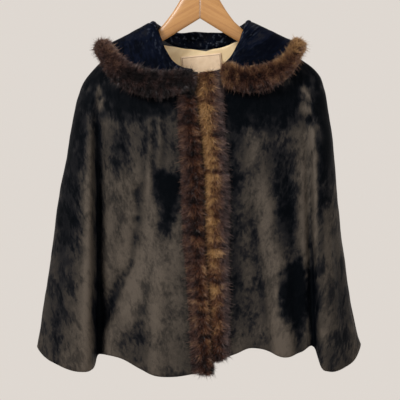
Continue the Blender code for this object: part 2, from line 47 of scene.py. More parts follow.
# Cloth thicknesses and the gaps between sewn pieces.
WALL = 0.0025  # plush backed by its satin
COLLAR_WALL = 0.003  # two layers of plush
LINING_WALL = 0.001
LABEL_WALL = 0.0008
SEAM = 0.0003
SEAM_SHUT = 0.00003  # from a side seam's line to each of its edges, which all but touch
FRONT_OPENING = 0.0015  # from the centre-front line to each front edge

# The cape's outline seen from the front: the shoulder, then the side, from neck to hem.
# Columns: how far out, height.
SIDE_OUTLINE = {
    RIGHT: (
        (-0.0845, -0.1770), (-0.1350, -0.2065), (-0.1947, -0.2414), (-0.2099, -0.2567),
        (-0.2218, -0.2731), (-0.2328, -0.3006), (-0.2426, -0.3433), (-0.2559, -0.4201),
        (-0.2712, -0.4968), (-0.2899, -0.6308), (-0.3008, -0.7014), (-0.3128, -0.7797),
    ),
    LEFT: (
        (0.0885, -0.1740), (0.1400, -0.2020), (0.1991, -0.2347), (0.2170, -0.2481),
        (0.2302, -0.2634), (0.2385, -0.2880), (0.2487, -0.3434), (0.2588, -0.4304),
        (0.2653, -0.5105), (0.2796, -0.6193), (0.2931, -0.7102), (0.3085, -0.7760),
    ),
}

# Sections of the cape at shares of its length, from 0 at the neck to 1 at the hem.
# Columns: share, depth at centre front, at the side and at centre back, roundness (2 is an
# ellipse), height at centre front, how late the section climbs to the shoulder (2 is even),
# height at centre back.
SECTIONS = (
    (0.00, -0.050, 0.000, 0.045, 2.3, -0.262, 3.2, -0.205),
    (0.10, -0.054, 0.000, 0.049, 2.4, -0.318, 2.9, -0.263),
    (0.20, -0.057, 0.000, 0.050, 2.4, -0.375, 2.6, -0.321),
    (0.32, -0.059, 0.001, 0.050, 2.5, -0.443, 2.3, -0.391),
    (0.55, -0.063, 0.003, 0.052, 2.6, -0.573, 2.0, -0.524),
    (0.80, -0.067, 0.004, 0.056, 2.7, -0.713, 2.0, -0.669),
    (1.00, -0.070, 0.005, 0.060, 2.8, -0.826, 2.0, -0.785),
)

# The centre-front line leans to the wearer's left. Columns: share of the length, place in X.
CENTRE_FRONT = (
    (0.00, -0.002), (0.12, -0.003), (0.30, 0.008), (0.54, 0.011), (0.76, 0.018), (1.00, 0.024),
)

# The front hem. Columns: distance from the middle, height.
HEM = {
    RIGHT: (
        (0.000, -0.8200), (0.050, -0.8265), (0.083, -0.8240), (0.111, -0.8125), (0.150, -0.7935),
        (0.187, -0.7915), (0.193, -0.7935), (0.199, -0.8115), (0.205, -0.8145), (0.226, -0.8160),
        (0.262, -0.8070), (0.295, -0.7950), (0.313, -0.7800),
    ),
    LEFT: (
        (0.020, -0.8030), (0.045, -0.7930), (0.070, -0.7846), (0.090, -0.7770), (0.110, -0.7772),
        (0.158, -0.7900), (0.188, -0.7826), (0.214, -0.7775), (0.226, -0.8080), (0.240, -0.8150),
        (0.268, -0.8120), (0.292, -0.8000), (0.3085, -0.7760),
    ),
}

# Folds. Columns: place in X at the neck and at the hem, shares of the length where the fold
# starts and where it is full, depth (inward is positive), width toward the middle and away
# from it, how far the fold leans to the middle for each unit of depth, and the shape of its
# sides (2 is soft, more is steep under a flat crown).
FRONT_FOLDS = {
    RIGHT: (
        (-0.050, -0.066, 0.30, 1.00, -0.010, 0.045, 0.045, 0.00, 2),
        (-0.054, -0.200, 0.30, 0.85, 0.011, 0.030, 0.030, 0.00, 2),
        (-0.191, -0.193, 0.16, 0.70, 0.022, 0.014, 0.0075, 0.00, 2),
        (-0.242, -0.240, 0.08, 0.50, -0.034, 0.042, 0.052, 0.16, 8),
    ),
    LEFT: (
        (0.085, 0.098, 0.35, 1.00, 0.011, 0.030, 0.030, 0.00, 2),
        (0.145, 0.157, 0.25, 1.00, -0.013, 0.032, 0.032, 0.00, 2),
        (0.198, 0.213, 0.10, 0.70, 0.006, 0.010, 0.004, 0.00, 2),
        (0.240, 0.262, 0.10, 0.60, -0.032, 0.043, 0.045, 0.16, 8),
    ),
}
BACK_FOLDS = (
    (-0.190, -0.238, 0.25, 1.00, -0.024, 0.034, 0.034, 0.10, 2),
    (-0.150, -0.172, 0.30, 1.00, 0.012, 0.030, 0.030, 0.00, 2),
    (-0.080, -0.105, 0.30, 1.00, -0.018, 0.038, 0.036, 0.00, 2),
    (0.010, 0.016, 0.40, 1.00, -0.014, 0.036, 0.040, 0.00, 2),
    (0.055, 0.070, 0.30, 1.00, 0.010, 0.026, 0.028, 0.00, 2),
    (0.105, 0.135, 0.30, 1.00, -0.020, 0.036, 0.036, 0.00, 2),
    (0.195, 0.240, 0.25, 1.00, -0.022, 0.034, 0.034, 0.10, 2),
)

# The grid that every cloth piece is made from.
SHOULDER_SHARE = 0.32  # the rows are closer together above this share of the length
SHOULDER_ROWS = 9
BODY_ROWS = 12
BAND_COLUMNS = 3
FRONT_COLUMNS = 24
BACK_COLUMNS = 14
DENSE = 240  # points on each half section before they are spaced out

# The mink bands down the fronts. Columns: share of the length, width of each.
BAND_WIDTH = {
    RIGHT: ((0.00, 0.032), (0.12, 0.032), (0.25, 0.037), (0.50, 0.037), (0.75, 0.033), (1.0, 0.033)),
    LEFT: ((0.00, 0.040), (0.12, 0.041), (0.25, 0.038), (0.45, 0.039), (0.65, 0.033), (1.0, 0.025)),
}
BAND_HEIGHT = 0.019
BAND_TOP = {RIGHT: 0.080, LEFT: 0.004}  # shares of the length
BAND_RISE = 0.04  # share of the length over which the band's top reaches its full height
BAND_TOP_HEIGHT = 0.55  # the height where it starts, as a share of the full one
# Columns: share of the width, share of the height, over the top from outer edge to front edge.
BAND_DOME = ((1.03, 0.35), (0.97, 0.72), (0.72, 0.97), (0.32, 1.00), (0.07, 0.78), (0.00, 0.35))

# The collar, by columns of the cape's grid. Columns: share of the way from centre front to
# centre back, height of the stand, radius of the roll, share of the cape's length where the
# fall ends and its fur starts, how far the fall's edge is off the cape, half of the fur's
# width and of its height.
COLLAR_BEHIND = (
    (0.850, 0.0225, 0.0050, 0.102, 0.0140, 0.0210, 0.0145),
    (0.950, 0.0275, 0.0050, 0.094, 0.0130, 0.0210, 0.0135),
    (1.000, 0.0280, 0.0050, 0.093, 0.0130, 0.0210, 0.0135),
)
COLLAR = {
    RIGHT: (
        (0.030, 0.0010, 0.0024, 0.014, 0.0055, 0.0130, 0.0105),
        (0.080, 0.0010, 0.0026, 0.015, 0.0055, 0.0185, 0.0120),
        (0.160, 0.0015, 0.0030, 0.031, 0.0065, 0.0225, 0.0130),
        (0.260, 0.0030, 0.0038, 0.055, 0.0090, 0.0245, 0.0140),
        (0.370, 0.0055, 0.0045, 0.084, 0.0130, 0.0243, 0.0150),
        (0.500, 0.0085, 0.0050, 0.118, 0.0180, 0.0215, 0.0175),
        (0.630, 0.0115, 0.0050, 0.133, 0.0220, 0.0190, 0.0205),
        (0.720, 0.0150, 0.0050, 0.125, 0.0180, 0.0205, 0.0175),
        *COLLAR_BEHIND,
    ),
    LEFT: (
        (0.105, 0.0010, 0.0024, 0.006, 0.0055, 0.0185, 0.0115),
        (0.160, 0.0015, 0.0030, 0.013, 0.0065, 0.0225, 0.0120),
        (0.260, 0.0030, 0.0038, 0.052, 0.0090, 0.0222, 0.0140),
        (0.370, 0.0055, 0.0045, 0.084, 0.0130, 0.0222, 0.0150),
        (0.500, 0.0085, 0.0050, 0.125, 0.0180, 0.0175, 0.0165),
        (0.630, 0.0115, 0.0050, 0.133, 0.0210, 0.0165, 0.0185),
        (0.720, 0.0150, 0.0050, 0.125, 0.0180, 0.0180, 0.0165),
        *COLLAR_BEHIND,
    ),
}
COLLAR_FIRST = {RIGHT: 1, LEFT: 4}  # the grid column where each end of the collar is
FALL_START = 0.80  # how far off the cape the fall starts, as a share of its edge's lift
FUR_CLEARANCE = 0.0009  # from the collar's fur to the cape under it
FUR_END = 0.004  # how far the front end of the collar's fur bulges

# The lining of the back, as far as the neck shows it, and the blank label on it.
LINING_ROWS = 7
LINING_FIRST = 26  # the grid column where the lining starts, clear of the hanger's arms
# The lower edge of the plush facing sewn to the lining at the neck, a shallow V. Columns: X, height.
NECK_FACING = ((-0.073, -0.1980), (0.012, -0.2092), (0.083, -0.1890))
LABEL_WIDTH = 0.081
LABEL_HEIGHT = 0.046
LABEL_MIDDLE = (0.004, -0.2390)
LABEL_TILT = math.radians(5.7)
LABEL_COLUMNS, LABEL_ROWS = 6, 3
SEARCH_ROUNDS = 12  # steps that find a place on the back

# The hanger. Columns: distance from the middle, top, bottom, half thickness.
ARM_NECK = (
    (0.000, -0.0750, -0.1524, 0.0060),
    (0.010, -0.0770, -0.1586, 0.0060),
    (0.022, -0.0900, -0.1660, 0.0060),
    (0.038, -0.1172, -0.1758, 0.0060),
    (0.052, -0.1400, -0.1844, 0.0060),
    (0.066, -0.1590, -0.1930, 0.0060),
)
ARM_BOTTOM_SLOPE = 0.57
ARM_TIP = 0.2015
TIP_DROP, TIP_LIFT = 0.42, 0.144  # how the tip's top and bottom close, as shares of its height
TIP_HALF = 0.0045
ARM_LAST = 0.196  # where the tip starts to close
ARM_ROUNDNESS = 0.85  # 1 is an ellipse, 0 a square
ARM_CLEARANCE = 0.0050  # from the top of the wood to the cape's outer face, straight up
HOOK_WIRE = 0.0020
HOOK_BEND = 0.0260
HOOK_FOOT = -0.0970
HOOK_STRAIGHT = -0.0620
HOOK_PULL = 0.0100  # how gently the shank swings into the bend
HOOK_JOIN = math.radians(228)  # where the bend starts and ends, round its middle
HOOK_END = math.radians(-35)

SHARP = math.radians(50)  # edges sharper than this stay crisp
TINY = 1e-12  # keeps a direction without length from dividing by nothing
STEP = 0.02  # share of the length that a direction down the cape is measured over

# The scene's own grid divides each column and row of the solids' grid into this many.
FINE, FINE_ROWS = 5, 6

# Creases pressed into the cloth, on lines seen from the front. Columns: the line's points as
# X and height, depth (inward is positive), width on the middle's side and on the other, and the
# shape of its sides (2 is soft, 1 is a sharp fold).
CREASES = {
    RIGHT: (
        (((-0.1160, -0.4600), (-0.1165, -0.5383), (-0.1299, -0.6200), (-0.1522, -0.6571), (-0.1763, -0.7091),
          (-0.1819, -0.7518)), 0.0090, 0.0170, 0.0120, 1.7),
        (((-0.2058, -0.2784), (-0.1900, -0.2860), (-0.1945, -0.2973), (-0.1967, -0.3200), (-0.1913, -0.3398),
          (-0.1805, -0.3558), (-0.1652, -0.3756)), -0.0034, 0.0070, 0.0070, 1.8),
        (((-0.1756, -0.3048), (-0.1913, -0.3256)), -0.0030, 0.0050, 0.0050, 1.6),
        (((-0.1850, -0.3020), (-0.1905, -0.3180)), 0.0022, 0.0050, 0.0050, 1.8),
        (((-0.0960, -0.3342), (-0.0930, -0.4084), (-0.0970, -0.5012)), -0.0036, 0.0070, 0.0070, 1.8),
        (((-0.0760, -0.3300), (-0.0745, -0.3900), (-0.0790, -0.4500)), -0.0034, 0.0060, 0.0070, 1.8),
        (((-0.1420, -0.3700), (-0.1330, -0.4400), (-0.1360, -0.5200)), 0.0028, 0.0140, 0.0100, 2.0),
        (((-0.2520, -0.5200), (-0.2640, -0.6400), (-0.2700, -0.8000)), 0.0050, 0.0140, 0.0160, 2.0),
        (((-0.0700, -0.6100), (-0.0820, -0.7000), (-0.0860, -0.8200)), -0.0035, 0.0140, 0.0160, 2.0),
    ),
    LEFT: (
        (((0.1907, -0.2841), (0.2071, -0.3105), (0.2126, -0.3294), (0.2126, -0.3500)),
         -0.0045, 0.0050, 0.0060, 1.4),
        (((0.2039, -0.3388), (0.2096, -0.3615)), 0.0055, 0.0050, 0.0040, 1.6),
        (((0.2152, -0.3502), (0.2240, -0.3804), (0.2270, -0.4068)), -0.0035, 0.0050, 0.0050, 1.5),
        (((0.1076, -0.3713), (0.1188, -0.4641), (0.1336, -0.5754), (0.1429, -0.6682), (0.1559, -0.7900)),
         -0.0045, 0.0180, 0.0160, 2.0),
        (((0.0950, -0.5000), (0.1040, -0.6000), (0.1180, -0.7000), (0.1300, -0.7900)),
         0.0038, 0.0130, 0.0110, 1.8),
        (((0.1620, -0.4200), (0.1700, -0.5200), (0.1760, -0.6400), (0.1850, -0.7800)),
         0.0040, 0.0140, 0.0120, 2.0),
        (((0.2560, -0.5600), (0.2660, -0.6800), (0.2760, -0.8100)), 0.0045, 0.0120, 0.0140, 2.0),
        (((0.2060, -0.3900), (0.2070, -0.5200), (0.2080, -0.6600)), 0.0020, 0.0045, 0.0045, 2.0),
        (((0.2140, -0.3900), (0.2150, -0.5200), (0.2160, -0.6600)), -0.0016, 0.0050, 0.0050, 2.0),
    ),
}
BACK_CREASES = (
    (((-0.060, -0.300), (-0.075, -0.420), (-0.110, -0.560), (-0.135, -0.700)), 0.0040, 0.016, 0.014, 2.0),
    (((0.030, -0.330), (0.034, -0.480), (0.052, -0.640), (0.060, -0.780)), 0.0035, 0.014, 0.014, 2.0),
    (((0.110, -0.290), (0.125, -0.400), (0.160, -0.520), (0.180, -0.640)), 0.0040, 0.015, 0.013, 2.0),
    (((-0.195, -0.300), (-0.205, -0.420), (-0.215, -0.600)), 0.0045, 0.008, 0.008, 1.6),
    (((0.200, -0.300), (0.212, -0.430), (0.224, -0.620)), 0.0045, 0.008, 0.008, 1.6),
)
CREASE_END = 0.030  # metres over which a crease dies out at its ends

# Patches of painted sheen and painted shade on the pile, seen from the front: the pile brushed
# another way, painted as sheen, painted shadow under the collar, painted shade on the shoulders,
# the sides and in folds, and painted highlight on ridges. Columns: X, height, half width,
# half height, and how much lighter (positive) or darker it is than the rest.
SHEEN_AND_SHADE_PATCHES = {
    RIGHT: (
        # Painted shadow under the collar.
        (-0.111, -0.312, 0.095, 0.036, -0.62),
        (-0.058, -0.488, 0.025, 0.036, -0.95),
        (-0.066, -0.548, 0.014, 0.030, -0.35),
        (-0.246, -0.480, 0.032, 0.150, -0.42),
        (-0.226, -0.340, 0.030, 0.080, -0.30),
        (-0.205, -0.258, 0.045, 0.030, -0.50),
        (-0.150, -0.415, 0.018, 0.040, -0.20),
        (-0.085, -0.620, 0.060, 0.150, 0.14),
        (-0.128, -0.465, 0.022, 0.080, 0.12),
        (-0.118, -0.765, 0.035, 0.030, -0.10),
        (-0.180, -0.735, 0.020, 0.060, -0.34),
        (-0.270, -0.720, 0.030, 0.100, -0.12),
        (-0.176, -0.745, 0.018, 0.050, 0.34),
        (-0.130, -0.620, 0.022, 0.080, 0.26),
        (-0.188, -0.310, 0.010, 0.026, 0.52),
        (-0.115, -0.395, 0.085, 0.050, -0.13),
        (-0.255, -0.660, 0.036, 0.150, -0.12),
    ),
    LEFT: (
        # Painted shadow under the collar.
        (0.125, -0.318, 0.110, 0.046, -0.66),
        (0.179, -0.672, 0.029, 0.056, -1.00),
        (0.160, -0.500, 0.020, 0.100, -0.28),
        (0.060, -0.600, 0.020, 0.150, -0.28),
        (0.235, -0.400, 0.020, 0.110, -0.60),
        (0.218, -0.252, 0.045, 0.030, -0.50),
        (0.112, -0.480, 0.030, 0.110, 0.08),
        (0.138, -0.430, 0.024, 0.060, -0.26),
        (0.150, -0.545, 0.020, 0.045, -0.22),
        (0.122, -0.640, 0.034, 0.130, 0.10),
        (0.066, -0.350, 0.020, 0.120, -0.30),
        (0.120, -0.760, 0.050, 0.040, 0.14),
        (0.262, -0.700, 0.024, 0.080, -0.22),
        (0.205, -0.450, 0.018, 0.120, 0.24),
        (0.235, -0.790, 0.030, 0.030, -0.30),
        (0.202, -0.560, 0.011, 0.150, 0.44),
        (0.218, -0.600, 0.011, 0.190, -0.38),
        (0.196, -0.314, 0.011, 0.030, 0.58),
    ),
}
# The same for the back: first painted shadow under the collar, then painted shade on the shoulders.
BACK_SHEEN_AND_SHADE_PATCHES = (
    (0.000, -0.250, 0.160, 0.070, -0.45),
    (-0.210, -0.262, 0.045, 0.030, -0.40),
    (0.220, -0.256, 0.045, 0.030, -0.40),
    (-0.090, -0.520, 0.040, 0.120, 0.10),
    (0.070, -0.600, 0.050, 0.140, 0.10),
    (0.150, -0.430, 0.034, 0.052, -0.52),
    (-0.034, -0.690, 0.036, 0.040, -0.42),
    (-0.180, -0.660, 0.030, 0.120, -0.10),
    (0.205, -0.640, 0.030, 0.120, -0.12),
)
NAP_MIDDLE = 0.69
NAP_BLEND = 24  # columns of the fine grid over which the front's pile turns into the back's

# The mink. The undercoat is this far inside the solids, and the guard hair stands out of it.
UNDERCOAT = 0.0062
HAIR_LENGTH = 0.0115
HAIR_WIDTH = 0.0006
FUR_RING = 28  # points round the undercoat of the collar's roll

# How light the fur is along each piece, from 0, blackish brown, to 1, golden. Columns: share of
# the way from the front end or from the top, value at the inner edge, value at the outer edge.
FUR_TONE = {
    "collar_right": ((0.00, -0.06, -0.08), (0.20, -0.02, -0.08), (0.40, 0.10, -0.02), (0.52, 0.38, 0.24),
                     (0.62, 0.46, 0.30), (0.74, 0.24, 0.26), (0.82, 0.46, 0.40), (0.90, 0.18, 0.20),
                     (1.00, 0.34, 0.32)),
    "collar_left": ((0.00, 0.62, 0.30), (0.15, 0.44, 0.22), (0.40, 0.50, 0.26), (0.56, 0.78, 0.66),
                    (0.66, 0.78, 0.70), (0.76, 0.40, 0.36), (0.84, 0.54, 0.48), (0.92, 0.24, 0.26),
                    (1.00, 0.34, 0.32)),
    "front_right": ((0.00, 0.14, 0.12), (0.10, 0.30, 0.28), (0.30, 0.24, 0.30), (0.50, 0.30, 0.30),
                    (0.62, 0.46, 0.34), (0.85, 0.42, 0.34), (1.00, 0.20, 0.18)),
    "front_left": ((0.00, 0.74, 0.26), (0.15, 0.96, 0.20), (0.40, 0.96, 0.12), (0.55, 0.80, 0.14),
                   (0.75, 0.74, 0.22), (0.90, 0.44, 0.20), (1.00, 0.20, 0.14)),
}
WORDS = {RIGHT: "right", LEFT: "left"}  # for the pieces' names

# Blender's names for the kinds of node that are used most.
MATH, RANGE, RAMP = "ShaderNodeMath", "ShaderNodeMapRange", "ShaderNodeValToRGB"
MIX, BUMP, NOISE = "ShaderNodeMix", "ShaderNodeBump", "ShaderNodeTexNoise"
ATTRIBUTE, UV_MAP = "ShaderNodeAttribute", "ShaderNodeUVMap"

# How the cloth's face goes in and out: broad and fine, with the size of the lumps on each piece.
BROAD_BUCKLE, FINE_BUCKLE = 0.0012, 0.0004
CAPE_LUMPS, COLLAR_LUMPS = (0.055, 0.018), (0.022, 0.009)
SIDE_KEEP = 12  # how close to the side the folds keep their depth
HEM_LATE = 4  # how late down the cape the hem's own line shows
CREASE_FAINT = 0.2  # how much of a crease is left at its very end
THROUGH_HEM = -0.77  # a crease that ends below this height runs on through the hem

# The painted sheen and shade on the pile: what makes a place lighter or darker than NAP_MIDDLE,
# with painted shade in hollows and a painted highlight on ridges. The relief is taken over broad
# and over fine stretches of cloth: columns on each side, and the relief that counts in full.
BROAD_COLUMNS, BROAD_RELIEF = 14, 0.016
FINE_COLUMNS, FINE_RELIEF = 4, 0.0022
HOLLOW_SHADE, HOLLOW_SHADE_LESS = 0.30, 0.16  # the second is taken off behind the side seam
RIDGE_HIGHLIGHT = 0.12
FINE_SHADE, FINE_HIGHLIGHT = 0.26, 0.20
PALE_LIMIT = 0.92
PATCH_FULL, PATCH_FADE = 1.25, 0.8  # how far out a patch is full, and how fast it fades from there
PATCH_LUMPS, PATCH_BITE = (0.011, 0.030), 0.27  # the size and depth of the bites in its edge
PATCH_SEED = 50  # turns a patch's place into a seed of its own

# The neck: the lining is loose, and the label has a woven line near its edge.
LINING_LOOSE = 0.0016
LINING_WRINKLE, LINING_DRAG = 0.014, (1, 1, 0.45)  # the wrinkles' width, and how they run down
LABEL_BORDER, LABEL_LINE = 0.0030, 0.0012
LABEL_FINE = 4  # the label's grid against its solid's

# The collar's own grid.
COLLAR_STEP = 0.25  # columns of the solids' grid from one line of the collar to the next
STAND_FINE, ROLL_FINE, FALL_FINE = 4, 10, 16
ROLL_SHEEN_CELLS = 5.5  # how far over the roll the painted sheen reaches, in cells of the collar's grid
ROLL_SHEEN_LEAST, ROLL_SHEEN_LUMPS, ROLL_SHEEN_SPREAD = 0.06, 0.040, 0.5
COLLAR_NAP, COLLAR_NAP_LUMPS, COLLAR_NAP_SPREAD = 0.12, 0.030, 0.30

# The guard hair. Growth: length, how much each hair stands up, goes its own way and goes its
# clump's way, the clumps' size, and the share of hairs that are nearly twice as long.
GROWTH = {
    "Length": HAIR_LENGTH, "Stand": 0.50, "Tangle": 0.22, "Clump": 0.8, "Clump size": 0.010,
    "Long share": 0.05,
}
# A hair, from root to tip. Columns: height, width, how far it bends over, as shares of the whole.
BLADE = ((0, 0.9, 0), (0.55, 0.9, 0.08))
TIP_BEND = 0.26
HAIR_LEAST, HAIR_MOST = 0.55, 1.15  # shares of the length
LONG_EXTRA = 0.9
CLUMP_CONTRAST, CLUMP_START = 2.6, -0.8  # how far one clump's tone is from the next one's
OWN_TONE = 0.5
COLLAR_LONG, FRONT_LONG = 0.76, 0.85  # how long the hair is on each, as a share of the length
COLLAR_HAIRS, FRONT_HAIRS = 52000, 54000
COLLAR_SEED, FRONT_SEED = 11, 21

# The undercoat of the collar's mink.
COLLAR_FROST = {RIGHT: 0.40, LEFT: 0.10}
COVER = 0.006  # how far the fur reaches up to the neck at the collar's front ends
COVER_SHARE = 0.30
CREST_AT, CREST_WIDTH = 0.62, 0.12  # the shoulder, as shares of the way from front to back
CREST_SLIM = 0.004  # how much slimmer the undercoat is there, where the hair stands longest
INNER_TRIM = 0.25  # how much the undercoat is cut back toward the neck
LOW_TRIM, CREST_TRIM = 0.8, 0.9  # how much it is lowered, and how much more at the shoulder
FUR_LUMPS, FUR_LUMP_DEPTH = 0.016, 0.0015
FUR_LUMP_WAY = (0, -0.7, 0.7)
HAIR_DOWN, HAIR_FAN, HAIR_ASIDE = 0.20, 0.62, 0.22  # how the hair lies: down, away and round

# The undercoat of the bands. They are pieced from narrow pelts, end to end, and the fur parts a
# little at each join, with a painted highlight below it that stands for the swell of the fur.
PELT_JOINS = {
    RIGHT: (0.17, 0.27, 0.42, 0.53, 0.63, 0.74, 0.87),
    LEFT: (0.10, 0.21, 0.33, 0.47, 0.58, 0.70, 0.83),
}
BAND_ROWS, BAND_RING = 140, 16
BAND_FOOT = 0.990  # share of the length where the undercoat stops, for the hair to cover the hem
BAND_CORNER, BAND_PINCH = 0.022, 0.45  # how the band's top is rounded
BAND_INSET = 2.0  # how far in the undercoat's sides are, in undercoats
BAND_LEAN, BAND_LIE = 0.35, 0.55  # how the hair leans across the band and down it
JOIN_WIDTH, JOIN_DEPTH, JOIN_DARK = 0.008, 0.30, 0.20
PLUMP_BELOW, PLUMP_WIDTH = 0.022, 0.012
PLUMP_HIGHLIGHT = {RIGHT: 0.14, LEFT: 0.28}
MIDDLE_AT, MIDDLE_WIDTH = 0.45, 0.25  # the darker stretch along the band's middle
MIDDLE_DARK = {RIGHT: 0.17, LEFT: 0.03}
EDGE_WIDTH, EDGE_DARK = 0.07, 0.22  # the shade where the two bands meet
FROST = {RIGHT: 0.45, LEFT: 0.80}  # how silvered the outer edge of each band is
FROST_FROM, FROST_OVER = 0.45, 0.5

# The hanger's own grid, and its look.
ARM_RING, ARM_ROWS = 40, 24
ARM_EDGE, ARM_EDGE_WIDTH = 0.0006, 0.0015  # the small round at the middle joint
TIP_PARTS = (0.35, 0.65, 0.85, 1.0)
TIP_ROUND = 0.999  # just under 1, so that the tip's last loop keeps a size
GRAIN_RUN = 1.15  # the grain runs along the slope, which is longer than its place in X
HOOK_LEAD_POINTS, HOOK_BEND_POINTS = 13, 56

# The studio.
FLOOR_RADIUS, FLOOR_HEIGHT = 1.25, -1.20
WORLD_STRENGTH = 0.95
CAMERA_DISTANCE, CAMERA_HEIGHT = 1.8, -0.5012
SENSOR = 36
VIEW_WIDTH = 0.768  # how much the photo shows, side to side, at the hook's depth
LIGHTS_AIM = Vector((0, 0, -0.5))
LIGHTS = (
    ("key", (-1.5, -1.9, 0.9), 1.0, 60),
    ("fill", (1.8, -1.8, -0.2), 1.6, 12),
    ("rim_left", (-1.6, 1.2, 0.8), 0.9, 5),
    ("rim_right", (1.6, 1.4, 0.6), 0.9, 5),
)


def smooth(rows, at):
    """The values between the rows of a table, on smooth curves through its rows."""
    table = np.array(rows, float)
    place, value = table[:, 0], table[:, 1:]
    slope = np.gradient(value, place, axis=0)
    at = np.clip(np.atleast_1d(np.asarray(at, float)), place[0], place[-1])
    i = np.clip(np.searchsorted(place, at, side="right") - 1, 0, len(place) - 2)
    step = (place[i + 1] - place[i])[:, None]
    t = (at - place[i])[:, None] / step
    start = (1 + 2 * t) * (1 - t) ** 2 * value[i] + t * (1 - t) ** 2 * step * slope[i]
    end = t**2 * (3 - 2 * t) * value[i + 1] + t**2 * (t - 1) * step * slope[i + 1]
    return start + end


def ease(t):
    """0 to 1, with a soft start and end."""
    t = np.clip(t, 0, 1)
    return t * t * (3 - 2 * t)


def near(at, places, width):
    """1 at each of the places, and softly less away from them."""
    return sum(np.exp(-(((at - place) / width) ** 2)) for place in places)


def unit(vectors):
    """The same directions, each of length 1."""
    return vectors / np.maximum(np.linalg.norm(vectors, axis=-1, keepdims=True), TINY)


def run_of(points):
    """How far along a line each of its points is."""
    return np.concatenate([[0], np.cumsum(np.linalg.norm(np.diff(points, axis=0), axis=1))])


def along_outline(rows, share):
    """The point of an outline at a share of its length."""
    points = np.array(rows, float)
    run = run_of(points)
    return smooth(np.column_stack([run / run[-1], points]), share)[0]


def folded(x, y, across, folds, share, inward):
    """A section with its folds: each one a soft trough or ridge that grows down the cape."""
    moved_x, moved_y = x.copy(), y.copy()
    at_side = 1 - across**SIDE_KEEP
    for x_neck, x_hem, start, full, depth, toward, away, lean, sides in folds:
        middle = x_neck + (x_hem - x_neck) * share
        past = (x - middle) * math.copysign(1, middle)
        width = np.where(past < 0, toward, away)
        size = depth * ease((share - start) / (full - start))
        swell = size * np.exp(-((np.abs(past) / width) ** sides)) * at_side
        moved_y += inward * swell
        moved_x -= math.copysign(lean, middle) * np.abs(swell)
    return moved_x, moved_y


def half_section(side, share):
    """Points round the front and the back of one side of the cape, at one share of its length."""
    front_y, side_y, back_y, power, front_z, climb, back_z = smooth(SECTIONS, share)[0]
    hem_z, hem_climb = SECTIONS[-1][5:7]
    side_x, side_z = along_outline(SIDE_OUTLINE[side], share)
    turn = np.linspace(0, math.pi / 2, DENSE)
    across = np.sin(turn) ** (2 / power)
    depth = np.maximum(np.cos(turn), 0) ** (2 / power)

    edge = smooth(CENTRE_FRONT, share)[0, 0] + side * FRONT_OPENING
    x = edge + (side_x - edge) * across
    y = side_y + (front_y - side_y) * depth
    z = front_z + (side_z - front_z) * across**climb
    hem = smooth(HEM[side], np.abs(x))[:, 0]
    plain_hem = hem_z + (SIDE_OUTLINE[side][-1][1] - hem_z) * across**hem_climb
    z = z + (hem - plain_hem) * share**HEM_LATE
    x, y = folded(x, y, across, FRONT_FOLDS[side], share, 1)
    front = np.column_stack([x, y, z])

    x = side_x * across
    y = side_y + (back_y - side_y) * depth
    z = back_z + (side_z - back_z) * across**climb
    x, y = folded(x, y, across, BACK_FOLDS, share, -1)
    back = np.column_stack([x, y, z])[::-1]
    return front, back


def spaced(points, first, columns):
    """Points at even distances along a line, after those whose distances are given."""
    run = run_of(points)
    rest = np.linspace(first[-1], run[-1], columns + 2 - len(first))[1:]
    at = np.concatenate([first, rest])
    return np.stack([np.interp(at, run, points[:, k]) for k in range(3)], axis=1)


def fine_shares():
    """Where the rows of the fine grid are, as shares of the cape's length."""
    top = np.linspace(0, SHOULDER_SHARE, SHOULDER_ROWS)
    coarse = np.concatenate([top, np.linspace(SHOULDER_SHARE, 1, BODY_ROWS + 1)[1:]])
    places = np.arange((len(coarse) - 1) * FINE_ROWS + 1) / FINE_ROWS
    return np.interp(places, np.arange(len(coarse)), coarse)


def uneven(points, size, seed=0.0):
    """Soft noise from -1 to 1 at each point, with lumps of about this size."""
    flat = points.reshape(-1, 3) / size + seed
    return np.array([noise.noise(Vector(p)) for p in flat]).reshape(points.shape[:-1])


def buckle(points, lumps, seed):
    """How far a cloth's face goes in and out, in broad lumps and in fine ones."""
    broad, fine = lumps
    return uneven(points, broad, seed) * BROAD_BUCKLE + uneven(points, fine, seed + 4) * FINE_BUCKLE


def creased(points, creases):
    """How far inward the creases press each point."""
    x, z = points[..., 0], points[..., 2]
    depth = np.zeros(x.shape)
    for line, deep, toward, away, sides in creases:
        line = np.array(line)
        run = run_of(line)
        nearest = np.full(x.shape, np.inf)
        offset, place = np.zeros(x.shape), np.zeros(x.shape)
        for (ax, az), (bx, bz), start, end in zip(line, line[1:], run, run[1:]):
            length = end - start
            t = np.clip(((x - ax) * (bx - ax) + (z - az) * (bz - az)) / length**2, 0, 1)
            dx, dz = x - ax - t * (bx - ax), z - az - t * (bz - az)
            distance = np.hypot(dx, dz)
            closer = distance < nearest
            nearest = np.where(closer, distance, nearest)
            offset = np.where(closer, dx * math.copysign(1, line[0, 0]), offset)
            place = np.where(closer, start + t * length, place)
        if line[-1, 1] < THROUGH_HEM:
            from_end = place / CREASE_END
        else:
            from_end = np.minimum(place, run[-1] - place) / min(CREASE_END, run[-1] / 2)
        left = ease(from_end * (1 - CREASE_FAINT) + CREASE_FAINT)
        width = np.where(offset < 0, toward, away)
        depth += deep * left * np.exp(-((nearest / width) ** sides))
    return depth


def relief(points, normal, columns):
    """How far each point stands out of the cloth round it, averaged over columns on each side."""
    padded = np.pad(points, ((0, 0), (columns, columns), (0, 0)), mode="edge")
    total = np.cumsum(np.concatenate([np.zeros_like(padded[:, :1]), padded], axis=1), axis=1)
    width = 2 * columns + 1
    mean = (total[:, width:] - total[:, :-width]) / width
    return ((points - mean) * normal).sum(axis=-1)


